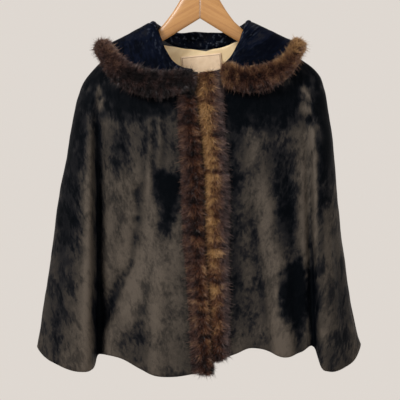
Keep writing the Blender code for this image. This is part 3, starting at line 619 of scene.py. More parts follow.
def painted_sheen_and_shade(points, normal, front_patches, back_patches):
    """How light the pile is painted at each point: painted shade in hollows, a painted highlight on ridges,
    and patches of painted sheen and shade.
    """
    x, z = points[..., 0], points[..., 2]
    broad = np.clip(relief(points, normal, BROAD_COLUMNS) / BROAD_RELIEF, -1, 1)
    fine = np.clip(relief(points, normal, FINE_COLUMNS) / FINE_RELIEF, -1, 1)
    past_seam = np.arange(points.shape[1]) - FRONT_COLUMNS * FINE
    behind = ease(past_seam / NAP_BLEND + 0.5)
    ahead = ease(-past_seam / NAP_BLEND)
    hollow_shade, ridge_highlight = HOLLOW_SHADE - HOLLOW_SHADE_LESS * behind, RIDGE_HIGHLIGHT * ahead
    value = NAP_MIDDLE + np.where(broad < 0, hollow_shade, ridge_highlight) * broad
    value += FINE_SHADE * np.minimum(fine, 0)
    small, large = PATCH_LUMPS
    for patches, weight in ((front_patches, 1 - behind), (back_patches, behind)):
        for px, pz, half_width, half_height, amount in patches:
            reach = ((x - px) / half_width) ** 2 + ((z - pz) / half_height) ** 2
            edge = uneven(points, small, px * PATCH_SEED) + uneven(points, large, pz * PATCH_SEED)
            inside = PATCH_FULL - np.sqrt(reach) * PATCH_FADE + edge * PATCH_BITE
            value += weight * amount * ease(inside)
    value = np.clip(value, 0, PALE_LIMIT) + FINE_HIGHLIGHT * ahead * np.maximum(fine, 0)
    return np.clip(value, 0, 1)


def outward(grid, side):
    """The outward normal at each point of one side's grid."""
    return unit(-side * np.cross(np.gradient(grid, axis=1), np.gradient(grid, axis=0)))


def half_cape(side):
    """The outer face of one side as a fine grid, and its outward normals."""
    rows = []
    for share in fine_shares():
        band = np.linspace(0, smooth(BAND_WIDTH[side], share)[0, 0], BAND_COLUMNS * FINE + 1)
        front, back = half_section(side, share)
        front = spaced(front, band, FRONT_COLUMNS * FINE)
        back = spaced(back, np.zeros(1), BACK_COLUMNS * FINE)
        rows.append(np.concatenate([front, back[1:]]))
    grid = np.array(rows)
    seam = FRONT_COLUMNS * FINE
    pressed = [creased(grid[:, :seam], CREASES[side]), creased(grid[:, seam:], BACK_CREASES)]
    depth = np.concatenate(pressed, axis=1) + buckle(grid, CAPE_LUMPS, 3.0)
    grid -= outward(grid, side) * depth[..., None]
    return grid, outward(grid, side)


class Cape:
    """Both sides of the cape's outer face, with one shared line down the centre back."""

    def __init__(self):
        self.grid, self.normal, self.sheen_and_shade = {}, {}, {}
        self.rows = fine_shares()
        for side in (RIGHT, LEFT):
            self.grid[side], self.normal[side] = half_cape(side)
        middle = self.normal[RIGHT][:, -1] + self.normal[LEFT][:, -1]
        line = (self.grid[RIGHT][:, -1] + self.grid[LEFT][:, -1]) / 2
        for side in (RIGHT, LEFT):
            self.normal[side][:, -1] = unit(middle)
            self.grid[side][:, -1] = line
            self.sheen_and_shade[side] = painted_sheen_and_shade(self.grid[side], self.normal[side], SHEEN_AND_SHADE_PATCHES[side], BACK_SHEEN_AND_SHADE_PATCHES)

    def at(self, side, column, share):
        """A point of the outer face and its normal, by column of the solids' grid and share."""
        column = min(max(column * FINE, 0), self.grid[side].shape[1] - 1)
        low = min(int(column), self.grid[side].shape[1] - 2)
        part = column - low
        found = []
        for values in (self.grid[side], self.normal[side]):
            line = values[:, low] * (1 - part) + values[:, low + 1] * part
            found.append(np.array([np.interp(share, self.rows, line[:, k]) for k in range(3)]))
        return found[0], unit(found[1])

    def downward(self, side, column, share):
        """The direction down the cape along one column."""
        upper = self.at(side, column, share)[0]
        lower = self.at(side, column, share + STEP)[0]
        return unit(lower - upper)


def distances(grid):
    """Each point's distance across and down the cloth, in metres, as its place in a UV map."""
    across = np.linalg.norm(np.diff(grid, axis=1), axis=2)
    down = np.linalg.norm(np.diff(grid, axis=0), axis=2)
    u = np.concatenate([np.zeros((grid.shape[0], 1)), np.cumsum(across, axis=1)], axis=1)
    v = np.concatenate([np.zeros((1, grid.shape[1])), np.cumsum(down, axis=0)], axis=0)
    return np.stack([u, -v], axis=-1)


def placed(name, data):
    """A new object in the scene for a mesh, a curve, a lamp or a camera."""
    made = bpy.data.objects.new(name, data)
    bpy.context.scene.collection.objects.link(made)
    return made


def plain_mesh(made):
    """The mesh that an object's modifiers or bevel give, in place of the object."""
    view = bpy.context.evaluated_depsgraph_get()
    mesh = bpy.data.meshes.new_from_object(made.evaluated_get(view), depsgraph=view)
    bpy.data.objects.remove(made)
    return mesh


def finished(mesh, name, node):
    """The piece for a mesh, riding on the one body and standing for its CAD node."""
    made = placed(name, mesh)
    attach(made, "root")
    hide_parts(node)
    return made


def mesh_of(name, points, faces, materials, indices=None, uv=None, values=None):
    """A smooth mesh, with each face's material, a UV map in metres and named point values."""
    mesh = bpy.data.meshes.new(name)
    mesh.from_pydata([tuple(p) for p in points], [], faces)
    for finish in materials:
        mesh.materials.append(finish)
    if indices is not None:
        mesh.polygons.foreach_set("material_index", np.array(indices, np.int32))
    if uv is not None:
        layer = mesh.uv_layers.new(name="metres")
        corner = np.zeros(len(mesh.loops), np.int32)
        mesh.loops.foreach_get("vertex_index", corner)
        layer.data.foreach_set("uv", np.asarray(uv, np.float32)[corner].ravel())
    for label, value in (values or {}).items():
        value = np.asarray(value, np.float32)
        kind, field = ("FLOAT_VECTOR", "vector") if value.ndim == 2 else ("FLOAT", "value")
        mesh.attributes.new(label, kind, "POINT").data.foreach_set(field, value.ravel())
    mesh.shade_smooth()
    return mesh


def wall(name, outer, inner, materials, values=None, uv=None):
    """A sheet of cloth between two grids, its outside, inside and rim with their materials."""
    rows, columns = outer.shape[:2]
    far = rows * columns
    faces, indices = [], []
    turned = np.cross(outer[0, 1] - outer[0, 0], outer[1, 0] - outer[0, 0])
    flip = np.dot(turned, outer[0, 0] - inner[0, 0]) < 0
    for r in range(rows - 1):
        for c in range(columns - 1):
            a = r * columns + c
            face = (a, a + 1, a + columns + 1, a + columns)
            back = tuple(i + far for i in face)
            faces += [face[::-1], back] if flip else [face, back[::-1]]
            indices += [0, 1]
    rim = list(range(columns))
    rim += [r * columns + columns - 1 for r in range(1, rows)]
    rim += [(rows - 1) * columns + c for c in range(columns - 2, -1, -1)]
    rim += [r * columns for r in range(rows - 2, 0, -1)]
    for a, b in zip(rim, rim[1:] + rim[:1]):
        face = (b, a, a + far, b + far)
        faces.append(face[::-1] if flip else face)
        indices.append(0)
    points = np.concatenate([outer.reshape(-1, 3), inner.reshape(-1, 3)])
    both = {k: np.concatenate([v.reshape(-1)] * 2) for k, v in (values or {}).items()}
    uv = distances(outer) if uv is None else uv
    uv = np.concatenate([uv.reshape(-1, 2)] * 2)
    return mesh_of(name, points, faces, materials, indices, uv, both)


def roll(name, loops, materials, bulges, uv=None, values=None):
    """A closed loft through loops of points, each end closed by a fan."""
    loops = np.array(loops)
    stations, sides = loops.shape[:2]
    faces = []
    for s in range(stations - 1):
        for k in range(sides):
            a, b = s * sides + k, s * sides + (k + 1) % sides
            faces.append((a, b, b + sides, a + sides))
    points = list(loops.reshape(-1, 3))
    for end, inner, bulge in ((0, 1, bulges[0]), (stations - 1, stations - 2, bulges[1])):
        middle = loops[end].mean(axis=0)
        points.append(middle + bulge * unit(middle - loops[inner].mean(axis=0)))
        for k in range(sides):
            fan = (end * sides + k, end * sides + (k + 1) % sides, len(points) - 1)
            faces.append(fan[::-1] if end == 0 else fan)
    ends = {}
    for label, value in {"uv": uv, **(values or {})}.items():
        if value is not None:
            value = np.asarray(value)
            flat = value.reshape(stations * sides, *value.shape[2:])
            ends[label] = np.concatenate([flat, value[:1, 0], value[-1:, 0]])
    mesh = mesh_of(name, points, faces, materials, None, ends.pop("uv", None), ends)
    if sum(face.center.dot(face.normal) * face.area for face in mesh.polygons) < 0:
        mesh.flip_normals()
    return mesh


def colour(hex_value):
    """An sRGB hex colour as linear red, green, blue and alpha."""
    channels = [int(hex_value[i : i + 2], 16) / 255 for i in (1, 3, 5)]
    return (*[c / 12.92 if c <= 0.04045 else ((c + 0.055) / 1.055) ** 2.4 for c in channels], 1)


def fill(tree, node, inputs):
    """A value or a link for each of a node's inputs. A node given as a value is its first output."""
    for name, value in inputs.items():
        if isinstance(value, bpy.types.Node):
            value = value.outputs[0]
        if isinstance(value, bpy.types.NodeSocket):
            tree.links.new(value, node.inputs[name])
        else:
            node.inputs[name].default_value = value


def add(tree, kind, inputs=None, stops=(), **settings):
    """A node with its settings and inputs, and the (place, hex colour) stops of a colour ramp."""
    node = tree.nodes.new(kind)
    for name, value in settings.items():
        setattr(node, name, value)
    fill(tree, node, inputs or {})
    for number, (place, hex_value) in enumerate(stops):
        if number >= len(node.color_ramp.elements):
            node.color_ramp.elements.new(place)
        node.color_ramp.elements[number].position = place
        node.color_ramp.elements[number].color = colour(hex_value)
    return node


def pattern(tree, uv, size, inputs, turn=0.0, kind=NOISE, **settings):
    """A texture on cloth or wood whose marks are this many metres across and down."""
    across, down = size
    mapped = add(tree, "ShaderNodeMapping", {
        "Vector": uv, "Rotation": (0, 0, turn), "Scale": (1 / across, 1 / down, 1),
    })
    return add(tree, kind, {"Vector": mapped, "Scale": 1.0, **inputs}, **settings).outputs["Fac"]


def together(tree, first, first_share, second, second_share):
    """Two patterns as one, each with its share."""
    part = add(tree, MATH, {0: first, 1: first_share}, operation="MULTIPLY")
    return add(tree, MATH, {0: second, 1: second_share, 2: part}, operation="MULTIPLY_ADD")


def new_material(name):
    """A material with its nodes and its main shader."""
    made = bpy.data.materials.new(name)
    made.use_nodes = True
    return made, made.node_tree, made.node_tree.nodes["Principled BSDF"]


def seal_plush(name, deep, dark):
    """Rayon pile plush with a silk-like lie, woven, then brushed: black where the pile faces the
    eye, and warm grey in brushed streaks where it lies over and shows its sides: a sheen painted into
    the colour, with painted shade in hollows and a painted highlight on ridges."""
    made, tree, shader = new_material(name)
    uv = add(tree, UV_MAP, uv_map="metres")
    sheen_and_shade, sheen_on_roll = [
        add(tree, ATTRIBUTE, attribute_name=label).outputs["Fac"] for label in ("sheen_and_shade", "roll_sheen")
    ]
    # Blotches are about 34 mm across, broken up by 7 mm feathers, and the tufts are 1.5 mm.
    blotch = pattern(tree, uv, (0.032, 0.038), {"Detail": 2.0, "Roughness": 0.55, "Distortion": 0.3}, 0.35)
    feather = pattern(tree, uv, (0.0065, 0.0105), {"Detail": 4.0, "Roughness": 0.68, "Distortion": 0.4}, -0.5)
    tuft = pattern(tree, uv, (0.0015, 0.0030), {"Detail": 2.0})
    kept = add(tree, RANGE, {
        "Value": together(tree, blotch, 0.60, feather, 0.40),
        "From Min": 0.36, "From Max": 0.56, "To Min": -0.30, "To Max": 0.05,
    }, interpolation_type="SMOOTHSTEP")
    calm = add(tree, RANGE, {
        "Value": sheen_and_shade, "From Min": 0.50, "From Max": 1.0, "To Min": 1.0, "To Max": 0.45,
    })
    lighter = add(tree, MATH, {0: kept, 1: calm, 2: sheen_and_shade}, operation="MULTIPLY_ADD")
    speckled = together(tree, feather, 0.30, tuft, 0.24)
    centred = add(tree, MATH, {0: speckled, 1: 0.27}, operation="SUBTRACT")
    lie = add(tree, MATH, {0: lighter, 1: centred}, operation="ADD", use_clamp=True)
    # The ramp gives the painted sheen and shade their colours: near black for painted shade, warm grey for
    # painted sheen.
    pile_sheen_and_shade = add(tree, RAMP, {"Fac": lie}, (
        (0.0, deep), (0.22, dark), (0.45, "#18181A"), (0.70, "#332F2B"), (1.0, "#4F4841"),
    ))
    # Painted sheen flecks on the collar's roll are about 8 mm across.
    spot = pattern(tree, uv, (0.0080, 0.0095), {"Detail": 3.0, "Roughness": 0.6}, 0.4)
    sheen_flecks = add(tree, RANGE, {
        "Value": spot, "From Min": 0.54, "From Max": 0.70,
    }, interpolation_type="SMOOTHSTEP")
    roll_sheen = add(tree, MATH, {0: sheen_flecks, 1: sheen_on_roll}, operation="MULTIPLY")
    # Over the collar's roll, flecks of painted sheen in pale blue grey.
    coloured = add(tree, MIX, {0: roll_sheen, 6: pile_sheen_and_shade, 7: colour("#3E4450")}, data_type="RGBA")
    pile = together(tree, feather, 0.8, tuft, 0.4)
    fill(tree, shader, {
        "Base Color": coloured.outputs[2],
        "Roughness": add(tree, RANGE, {"Value": lie, "To Min": 0.62, "To Max": 0.46}),
        "Sheen Weight": 0.008, "Sheen Roughness": 0.30, "Sheen Tint": colour("#8E9CD0"),
        "Specular IOR Level": 0.02,
        "Normal": add(tree, BUMP, {"Height": pile, "Strength": 0.55, "Distance": 0.0012}),
    })
    return made


def cream_satin():
    """Acetate lining satin: smooth and soft-shining, cream, with fine threads across it."""
    made, tree, shader = new_material("cream_satin")
    uv = add(tree, UV_MAP, uv_map="metres")
    # The threads are 0.5 mm here, coarser than real ones, so that they show.
    thread = pattern(
        tree, uv, (0.0005, 0.0005), {"Distortion": 0.6, "Detail": 1.0}, kind="ShaderNodeTexWave",
        bands_direction="Y",
    )
    age = pattern(tree, uv, (0.030, 0.040), {"Detail": 3.0})
    satin = add(tree, RAMP, {"Fac": age}, (
        (0.30, "#D6BC90"), (0.55, "#E4CDA2"), (0.80, "#EEDBB5"),
    ))
    # Above the V at the neck the plush facing starts, with flecks of painted sheen about 3 mm across.
    height = add(tree, ATTRIBUTE, attribute_name="facing").outputs["Fac"]
    faced = add(tree, RANGE, {"Value": height, "From Min": 0.0001, "From Max": 0.0007})
    fleck = pattern(tree, uv, (0.0028, 0.0036), {"Detail": 2.0})
    plush = add(tree, RAMP, {"Fac": fleck}, ((0.54, "#06080F"), (0.70, "#343B49")))
    coloured = add(tree, MIX, {0: faced, 6: satin, 7: plush}, data_type="RGBA")
    fill(tree, shader, {
        "Base Color": coloured.outputs[2],
        "Roughness": add(tree, RANGE, {"Value": faced, "To Min": 0.42, "To Max": 0.75}),
        "Sheen Weight": 0.15, "Sheen Tint": colour("#FFF3DC"),
        "Normal": add(tree, BUMP, {"Height": thread, "Strength": 0.12, "Distance": 0.0002}),
    })
    return made


def label_satin():
    """Woven damask label: a close satin ground in pale pinkish cream, with a thin woven border."""
    made, tree, shader = new_material("label_satin")
    uv = add(tree, UV_MAP, uv_map="metres")
    place = add(tree, "ShaderNodeSeparateXYZ", {"Vector": uv})
    nearest = 1.0
    for axis, size in ((0, LABEL_WIDTH), (1, LABEL_HEIGHT)):
        along = add(tree, MATH, {0: place.outputs[axis]}, operation="ABSOLUTE")
        centred = add(tree, MATH, {0: along, 1: size / 2}, operation="SUBTRACT")
        beside = add(tree, MATH, {0: centred}, operation="ABSOLUTE")
        inset = add(tree, MATH, {0: size / 2, 1: beside}, operation="SUBTRACT")
        nearest = add(tree, MATH, {0: nearest, 1: inset}, operation="MINIMUM")
    off = add(tree, MATH, {0: nearest, 1: LABEL_BORDER}, operation="SUBTRACT")
    line = add(tree, MATH, {0: off}, operation="ABSOLUTE")
    border = add(tree, MATH, {0: line, 1: LABEL_LINE / 2}, operation="LESS_THAN")
    weave = pattern(tree, uv, (0.0006, 0.0006), {}, kind="ShaderNodeTexWave", bands_direction="Y")
    dye = pattern(tree, uv, (0.012, 0.012), {"Detail": 2.0})
    ground = add(tree, RAMP, {"Fac": dye}, ((0.3, "#D8BE9E"), (0.7, "#E4CCAE")))
    mixed = add(tree, MIX, {0: border, 6: ground, 7: colour("#937860")}, data_type="RGBA")
    fill(tree, shader, {
        "Base Color": mixed.outputs[2], "Roughness": 0.5,
        "Normal": add(tree, BUMP, {"Height": weave, "Strength": 0.15, "Distance": 0.0002}),
    })
    return made


def mink_hair():
    """Dyed mink guard hair: glassy, brown to golden, with a darker root and a greyed tip."""
    made, tree, shader = new_material("mink_hair")
    gold, tone, along, frost = [
        add(tree, ATTRIBUTE, attribute_name=label).outputs["Fac"]
        for label in ("gold", "tone", "along", "frost")
    ]
    lighter = add(tree, MATH, {0: tone, 1: 0.50, 2: -0.25}, operation="MULTIPLY_ADD")
    shade = add(tree, MATH, {0: gold, 1: lighter}, operation="ADD", use_clamp=True)
    hair, tip, silver = [add(tree, RAMP, {"Fac": shade}, stops) for stops in (
        ((0.0, "#080608"), (0.25, "#28120B"), (0.50, "#4E2919"), (0.75, "#765032"), (1.0, "#A88252")),
        ((0.0, "#141216"), (0.35, "#3C2C28"), (1.0, "#AE9070")),
        ((0.0, "#221D1F"), (0.6, "#5A4A4A")),
    )]
    near_tip = add(tree, MATH, {0: along, 1: 2.5}, operation="POWER")
    tipped = add(tree, MATH, {0: near_tip, 1: 0.60}, operation="MULTIPLY")
    mixed = add(tree, MIX, {0: tipped, 6: hair, 7: tip}, data_type="RGBA")
    silvered = add(tree, MIX, {0: frost, 6: mixed.outputs[2], 7: silver}, data_type="RGBA")
    fill(tree, shader, {
        "Base Color": silvered.outputs[2], "Roughness": 0.45, "Specular IOR Level": 0.4,
    })
    return made


def mink_undercoat():
    """The dense underfur that the guard hair grows from: matt, darker, in soft tufts."""
    made, tree, shader = new_material("mink_undercoat")
    place = add(tree, "ShaderNodeTexCoord").outputs["Object"]
    gold = add(tree, ATTRIBUTE, attribute_name="gold").outputs["Fac"]
    # Underfur clumps into tufts about 4 mm across.
    tuft = add(tree, NOISE, {
        "Vector": place, "Scale": 1 / 0.004, "Detail": 3.0, "Roughness": 0.6,
    })
    spread = add(tree, MATH, {0: tuft, 1: 0.6, 2: -0.42}, operation="MULTIPLY_ADD")
    shade = add(tree, MATH, {0: gold, 1: spread}, operation="ADD", use_clamp=True)
    fill(tree, shader, {
        "Base Color": add(tree, RAMP, {"Fac": shade}, (
            (0.0, "#080404"), (0.4, "#1B0F0A"), (0.8, "#432B1A"), (1.0, "#65482B"),
        )),
        "Roughness": 0.9,
        "Normal": add(tree, BUMP, {"Height": tuft, "Strength": 1.0, "Distance": 0.003}),
    })
    return made


def varnished_beech():
    """Steamed beech, planed and varnished: warm tan, with fine flecks along the grain."""
    made, tree, shader = new_material("varnished_beech")
    uv = add(tree, UV_MAP, uv_map="metres")
    # Growth rings show as bands 4 to 8 mm wide, and beech's ray flecks are about 0.7 by 4 mm.
    bands = pattern(tree, uv, (0.120, 0.006), {"Detail": 3.0, "Distortion": 0.3})
    fleck = pattern(tree, uv, (0.006, 0.0007), {"Detail": 2.0})
    grain = together(tree, bands, 0.7, fleck, 0.3)
    wood = add(tree, RAMP, {"Fac": grain}, (
        (0.30, "#92653A"), (0.50, "#A67845"), (0.72, "#B48753"),
    ))
    along = add(tree, "ShaderNodeSeparateXYZ", {"Vector": uv})
    joint = add(tree, MATH, {0: along, 1: 0.0008}, operation="LESS_THAN")
    mixed = add(tree, MIX, {0: joint, 6: wood, 7: colour("#553318")}, data_type="RGBA")
    fill(tree, shader, {
        "Base Color": mixed.outputs[2], "Roughness": 0.34, "Coat Weight": 0.25, "Coat Roughness": 0.2,
        "Normal": add(tree, BUMP, {"Height": grain, "Strength": 0.08, "Distance": 0.0004}),
    })
    return made


def plated_steel():
    """Drawn steel wire, nickel plated: bright, dulled in small spots by handling."""
    made, tree, shader = new_material("plated_steel")
    place = add(tree, "ShaderNodeTexCoord").outputs["Object"]
    # The dull spots are about 3 mm across.
    spots = add(tree, NOISE, {"Vector": place, "Scale": 1 / 0.003, "Detail": 2.0})
    fill(tree, shader, {
        "Base Color": add(tree, RAMP, {"Fac": spots}, ((0.3, "#A9A9A6"), (0.7, "#C4C4C0"))),
        "Metallic": 1.0,
        "Roughness": add(tree, RANGE, {"Value": spots, "To Min": 0.18, "To Max": 0.34}),
    })
    return made


def front_panel(cape, side, name, node, finishes):
    """A front of plush with its satin inside, from its centre edge to the side seam."""
    last = FRONT_COLUMNS * FINE + 1
    grid = cape.grid[side][:, :last].copy()
    grid[:, -1] += unit(grid[:, -2] - grid[:, -1]) * SEAM_SHUT
    inner = grid - cape.normal[side][:, :last] * WALL
    mesh = wall(name, grid, inner, finishes, {"sheen_and_shade": cape.sheen_and_shade[side][:, :last]})
    return finished(mesh, name, node)


def across_back(values, first, rows=None):
    """Both halves of a grid from a column on, as one grid across the centre back."""
    right, left = (values[side][:rows, first * FINE :] for side in (RIGHT, LEFT))
    return np.concatenate([right, left[:, -2::-1]], axis=1)


def back_panel(cape, finishes):
    """The back of plush with its satin inside, from one side seam to the other."""
    grid, normal, sheen_and_shade = (across_back(v, FRONT_COLUMNS) for v in (cape.grid, cape.normal, cape.sheen_and_shade))
    for edge, beside in ((0, 1), (-1, -2)):
        grid[:, edge] += unit(grid[:, beside] - grid[:, edge]) * SEAM_SHUT
    mesh = wall("cape_back", grid, grid - normal * WALL, finishes, {"sheen_and_shade": sheen_and_shade})
    return finished(mesh, "cape_back", "back")


def back_lining(cape, satin):
    """The satin against the inside of the back, a little loose, so that it wrinkles."""
    rows = (LINING_ROWS - 1) * FINE_ROWS + 1
    grid, normal = (across_back(v, LINING_FIRST, rows) for v in (cape.grid, cape.normal))
    outer = grid - normal * (WALL + SEAM)
    loose = (0.5 + 0.5 * uneven(grid * LINING_DRAG, LINING_WRINKLE, 11.0)) * LINING_LOOSE
    inner = outer - normal * (LINING_WALL + loose[..., None])
    facing = grid[..., 2] - np.interp(grid[..., 0], *np.array(NECK_FACING).T)
    mesh = wall("neck_lining", outer, inner, [satin, satin], {"facing": facing})
    return finished(mesh, "neck_lining", "back_lining")


def on_back(cape, x, z):
    """The point of the back's outer face at a place seen from the front, and its normal."""
    side = LEFT if x > 0 else RIGHT
    last = FRONT_COLUMNS + BACK_COLUMNS
    column, share = float(last - 2), STEP
    for _ in range(SEARCH_ROUNDS):
        point = cape.at(side, column, share)[0]
        beside = cape.at(side, column - 1, share)[0]
        below = cape.at(side, column, share + STEP)[0]
        column = min(max(column - (x - point[0]) / (beside[0] - point[0]), LINING_FIRST), last)
        share = min(max(share + STEP * (z - point[2]) / (below[2] - point[2]), 0), SHOULDER_SHARE)
    return cape.at(side, column, share)


def label(cape, woven):
    """The blank label on the lining, a little askew."""
    points, normals, uv = [], [], []
    shape = (LABEL_ROWS * LABEL_FINE + 1, LABEL_COLUMNS * LABEL_FINE + 1)
    for v in np.linspace(0, 1, shape[0]):
        for u in np.linspace(0, 1, shape[1]):
            right, up = (u - 0.5) * LABEL_WIDTH, (0.5 - v) * LABEL_HEIGHT
            x = LABEL_MIDDLE[0] + right * math.cos(LABEL_TILT) - up * math.sin(LABEL_TILT)
            z = LABEL_MIDDLE[1] + right * math.sin(LABEL_TILT) + up * math.cos(LABEL_TILT)
            point, normal = on_back(cape, x, z)
            points.append(point)
            normals.append(normal)
            uv.append((u * LABEL_WIDTH, -v * LABEL_HEIGHT))
    points, normal = (np.array(values).reshape(*shape, 3) for values in (points, normals))
    outer = points - normal * (WALL + LINING_WALL + LINING_LOOSE + 3 * SEAM)
    uv = np.array(uv).reshape(*shape, 2)
    mesh = wall("neck_label", outer, outer - normal * LABEL_WALL, [woven, woven], uv=uv)
    return finished(mesh, "neck_label", "label")


def collar_columns(side):
    """Places between the grid's columns, from the collar's front end to the centre back."""
    first, last = COLLAR_FIRST[side], FRONT_COLUMNS + BACK_COLUMNS
    return np.linspace(first, last, round((last - first) / COLLAR_STEP) + 1)


def collar_section(cape, side, column):
    """The middle of the collar's wall at one column: up the stand, over the roll, down the fall."""
    at = column / (FRONT_COLUMNS + BACK_COLUMNS)
    stand, radius, fall, lift = smooth(COLLAR[side], at)[0, :4]
    neck, normal = cape.at(side, column, 0)
    out = unit(np.array([normal[0], normal[1], 0]))
    up = np.array([0, 0, 1.0])
    foot = neck + up * SEAM * 1.5
    points = [foot + up * stand * part for part in np.linspace(0, 1, STAND_FINE + 1)]
    top = points[-1]
    for turn in np.linspace(0, math.pi, ROLL_FINE + 1)[1:-1]:
        points.append(top + out * radius * (1 - math.cos(turn)) + up * radius * math.sin(turn))
    for part in np.linspace(0, 1, FALL_FINE + 1)[1:]:
        point, normal = cape.at(side, column, fall * part)
        points.append(point + normal * lift * (FALL_START + (1 - FALL_START) * part))
    return np.array(points)


def collar(cape, plush):
    """The turned-down collar, one wall round the neck that is folded over at its roll."""
    lines = [collar_section(cape, RIGHT, c) for c in collar_columns(RIGHT)]
    lines += [collar_section(cape, LEFT, c) for c in collar_columns(LEFT)[-2::-1]]
    middle = np.array(lines)
    normal = unit(np.cross(np.gradient(middle, axis=1), np.gradient(middle, axis=0)))
    middle = middle + normal * buckle(middle, COLLAR_LUMPS, 5.0)[..., None]
    half = normal * COLLAR_WALL / 2
    # Painted sheen over the roll's crest, broken into flecks by the shader.
    over = np.maximum(np.arange(middle.shape[1]) - STAND_FINE - ROLL_FINE / 2, 0)
    rolled = np.repeat(near(over, (0,), ROLL_SHEEN_CELLS)[None], len(middle), axis=0)
    roll_sheen = ROLL_SHEEN_LEAST + rolled + uneven(middle, ROLL_SHEEN_LUMPS, 41.0) * ROLL_SHEEN_SPREAD * rolled
    sheen_and_shade = COLLAR_NAP + uneven(middle, COLLAR_NAP_LUMPS, 21.0) * COLLAR_NAP_SPREAD
    values = {"sheen_and_shade": np.clip(sheen_and_shade, 0, 1), "roll_sheen": np.clip(roll_sheen, 0, 1)}
    mesh = wall("cape_collar", middle + half, middle - half, [plush, plush], values)
    return finished(mesh, "cape_collar", "collar")


def hair_blade():
    """One guard hair of unit length along Z: a narrow bent blade that tapers to a point."""
    points, along = [], []
    for height, wide, bend in BLADE:
        for edge in (-0.5, 0.5):
            points.append((edge * wide * HAIR_WIDTH, bend * HAIR_LENGTH, height))
            along.append(height)
    points.append((0, TIP_BEND * HAIR_LENGTH, 1))
    along.append(1)
    faces = [(0, 1, 3, 2), (2, 3, 4)]
    return placed("hair_blade", mesh_of("hair_blade", np.array(points), faces, [], values={"along": along}))


def hair_tree():
    """Guard hair scattered over an undercoat, each hair leaning as the undercoat says."""
    tree = bpy.data.node_groups.new("mink_hair", "GeometryNodeTree")
    sockets = {}
    for kind, names in (
        ("Geometry", ("Undercoat",)), ("Object", ("Hair",)), ("Int", ("Seed",)),
        ("Float", ("Hairs per square metre", *GROWTH)),
        ("Material", ("Undercoat finish", "Hair finish")),
    ):
        for name in names:
            made = tree.interface.new_socket(name=name, in_out="INPUT", socket_type="NodeSocket" + kind)
            sockets[name] = made.identifier
    tree.interface.new_socket(name="Fur", in_out="OUTPUT", socket_type="NodeSocketGeometry")
    given = tree.nodes.new("NodeGroupInput").outputs
    seed = given["Seed"]

    spread = add(tree, "GeometryNodeDistributePointsOnFaces", {
        "Mesh": given["Undercoat"], "Density": given["Hairs per square metre"], "Seed": seed,
    })
    # Each hair's way is the lie of the fur, straight up, its clump's way and its own.
    clump_scale = add(tree, MATH, {0: 1.0, 1: given["Clump size"]}, operation="DIVIDE")
    place = add(tree, "GeometryNodeInputPosition")
    clump = add(tree, NOISE, {"Vector": place, "Scale": clump_scale, "Detail": 1.0})
    half = (0.5, 0.5, 0.5)
    swept = add(tree, "ShaderNodeVectorMath", {0: clump.outputs["Color"], 1: half}, operation="SUBTRACT")
    ends = {0: (-1, -1, -1), 1: (1, 1, 1)}
    loose = add(tree, "FunctionNodeRandomValue", {**ends, "Seed": seed}, data_type="FLOAT_VECTOR")
    lie = add(tree, "GeometryNodeInputNamedAttribute", {"Name": "lie"}, data_type="FLOAT_VECTOR")
    way = lie.outputs["Attribute"]
    for direction, strength in (
        (spread.outputs["Normal"], "Stand"), (swept, "Clump"), (loose, "Tangle"),
    ):
        part = {0: direction, 1: given[strength], 2: way}
        way = add(tree, "ShaderNodeVectorMath", part, operation="MULTIPLY_ADD")
    aligned = add(tree, "FunctionNodeAlignRotationToVector", {"Vector": way}, axis="Z")
    angle, varied, own = [
        add(tree, "FunctionNodeRandomValue", {2: least, 3: most, "Seed": seed}).outputs[1]
        for least, most in ((0.0, math.tau), (HAIR_LEAST, HAIR_MOST), (0.0, OWN_TONE))
    ]
    spin = add(tree, "FunctionNodeAxisAngleToRotation", {"Axis": (0, 0, 1), "Angle": angle})
    turned = add(tree, "FunctionNodeRotateRotation", {
        "Rotation": aligned, "Rotate By": spin,
    }, rotation_space="LOCAL")
    chance = {"Probability": given["Long share"], "Seed": seed}
    guard = add(tree, "FunctionNodeRandomValue", chance, data_type="BOOLEAN").outputs[3]
    longer = add(tree, MATH, {0: guard, 1: LONG_EXTRA, 2: 1.0}, operation="MULTIPLY_ADD")
    long = add(tree, "GeometryNodeInputNamedAttribute", {"Name": "long"}, data_type="FLOAT")
    length = given["Length"]
    for factor in (varied, long.outputs["Attribute"], longer):
        length = add(tree, MATH, {0: length, 1: factor}, operation="MULTIPLY")
    hairs = add(tree, "GeometryNodeInstanceOnPoints", {
        "Points": spread,
        "Instance": add(tree, "GeometryNodeObjectInfo", {"Object": given["Hair"]}).outputs["Geometry"],
        "Rotation": turned,
        "Scale": add(tree, "ShaderNodeCombineXYZ", {0: 1.0, 1: 1.0, 2: length}),
    })
    # Each clump of hair has a tone of its own, lighter or darker than the next.
    contrast = {0: clump, 1: CLUMP_CONTRAST, 2: CLUMP_START}
    apart = add(tree, MATH, contrast, operation="MULTIPLY_ADD")
    toned = add(tree, "GeometryNodeStoreNamedAttribute", {
        "Geometry": hairs, "Name": "tone",
        "Value": add(tree, MATH, {0: apart, 1: own}, operation="ADD"),
    }, data_type="FLOAT", domain="INSTANCE")
    both = add(tree, "GeometryNodeJoinGeometry")
    for geometry, finish in (
        (add(tree, "GeometryNodeRealizeInstances", {"Geometry": toned}).outputs[0], "Hair finish"),
        (given["Undercoat"], "Undercoat finish"),
    ):
        dressed = add(tree, "GeometryNodeSetMaterial", {"Geometry": geometry, "Material": given[finish]})
        fill(tree, both, {0: dressed})
    add(tree, "NodeGroupOutput", {0: both})
    return tree, sockets


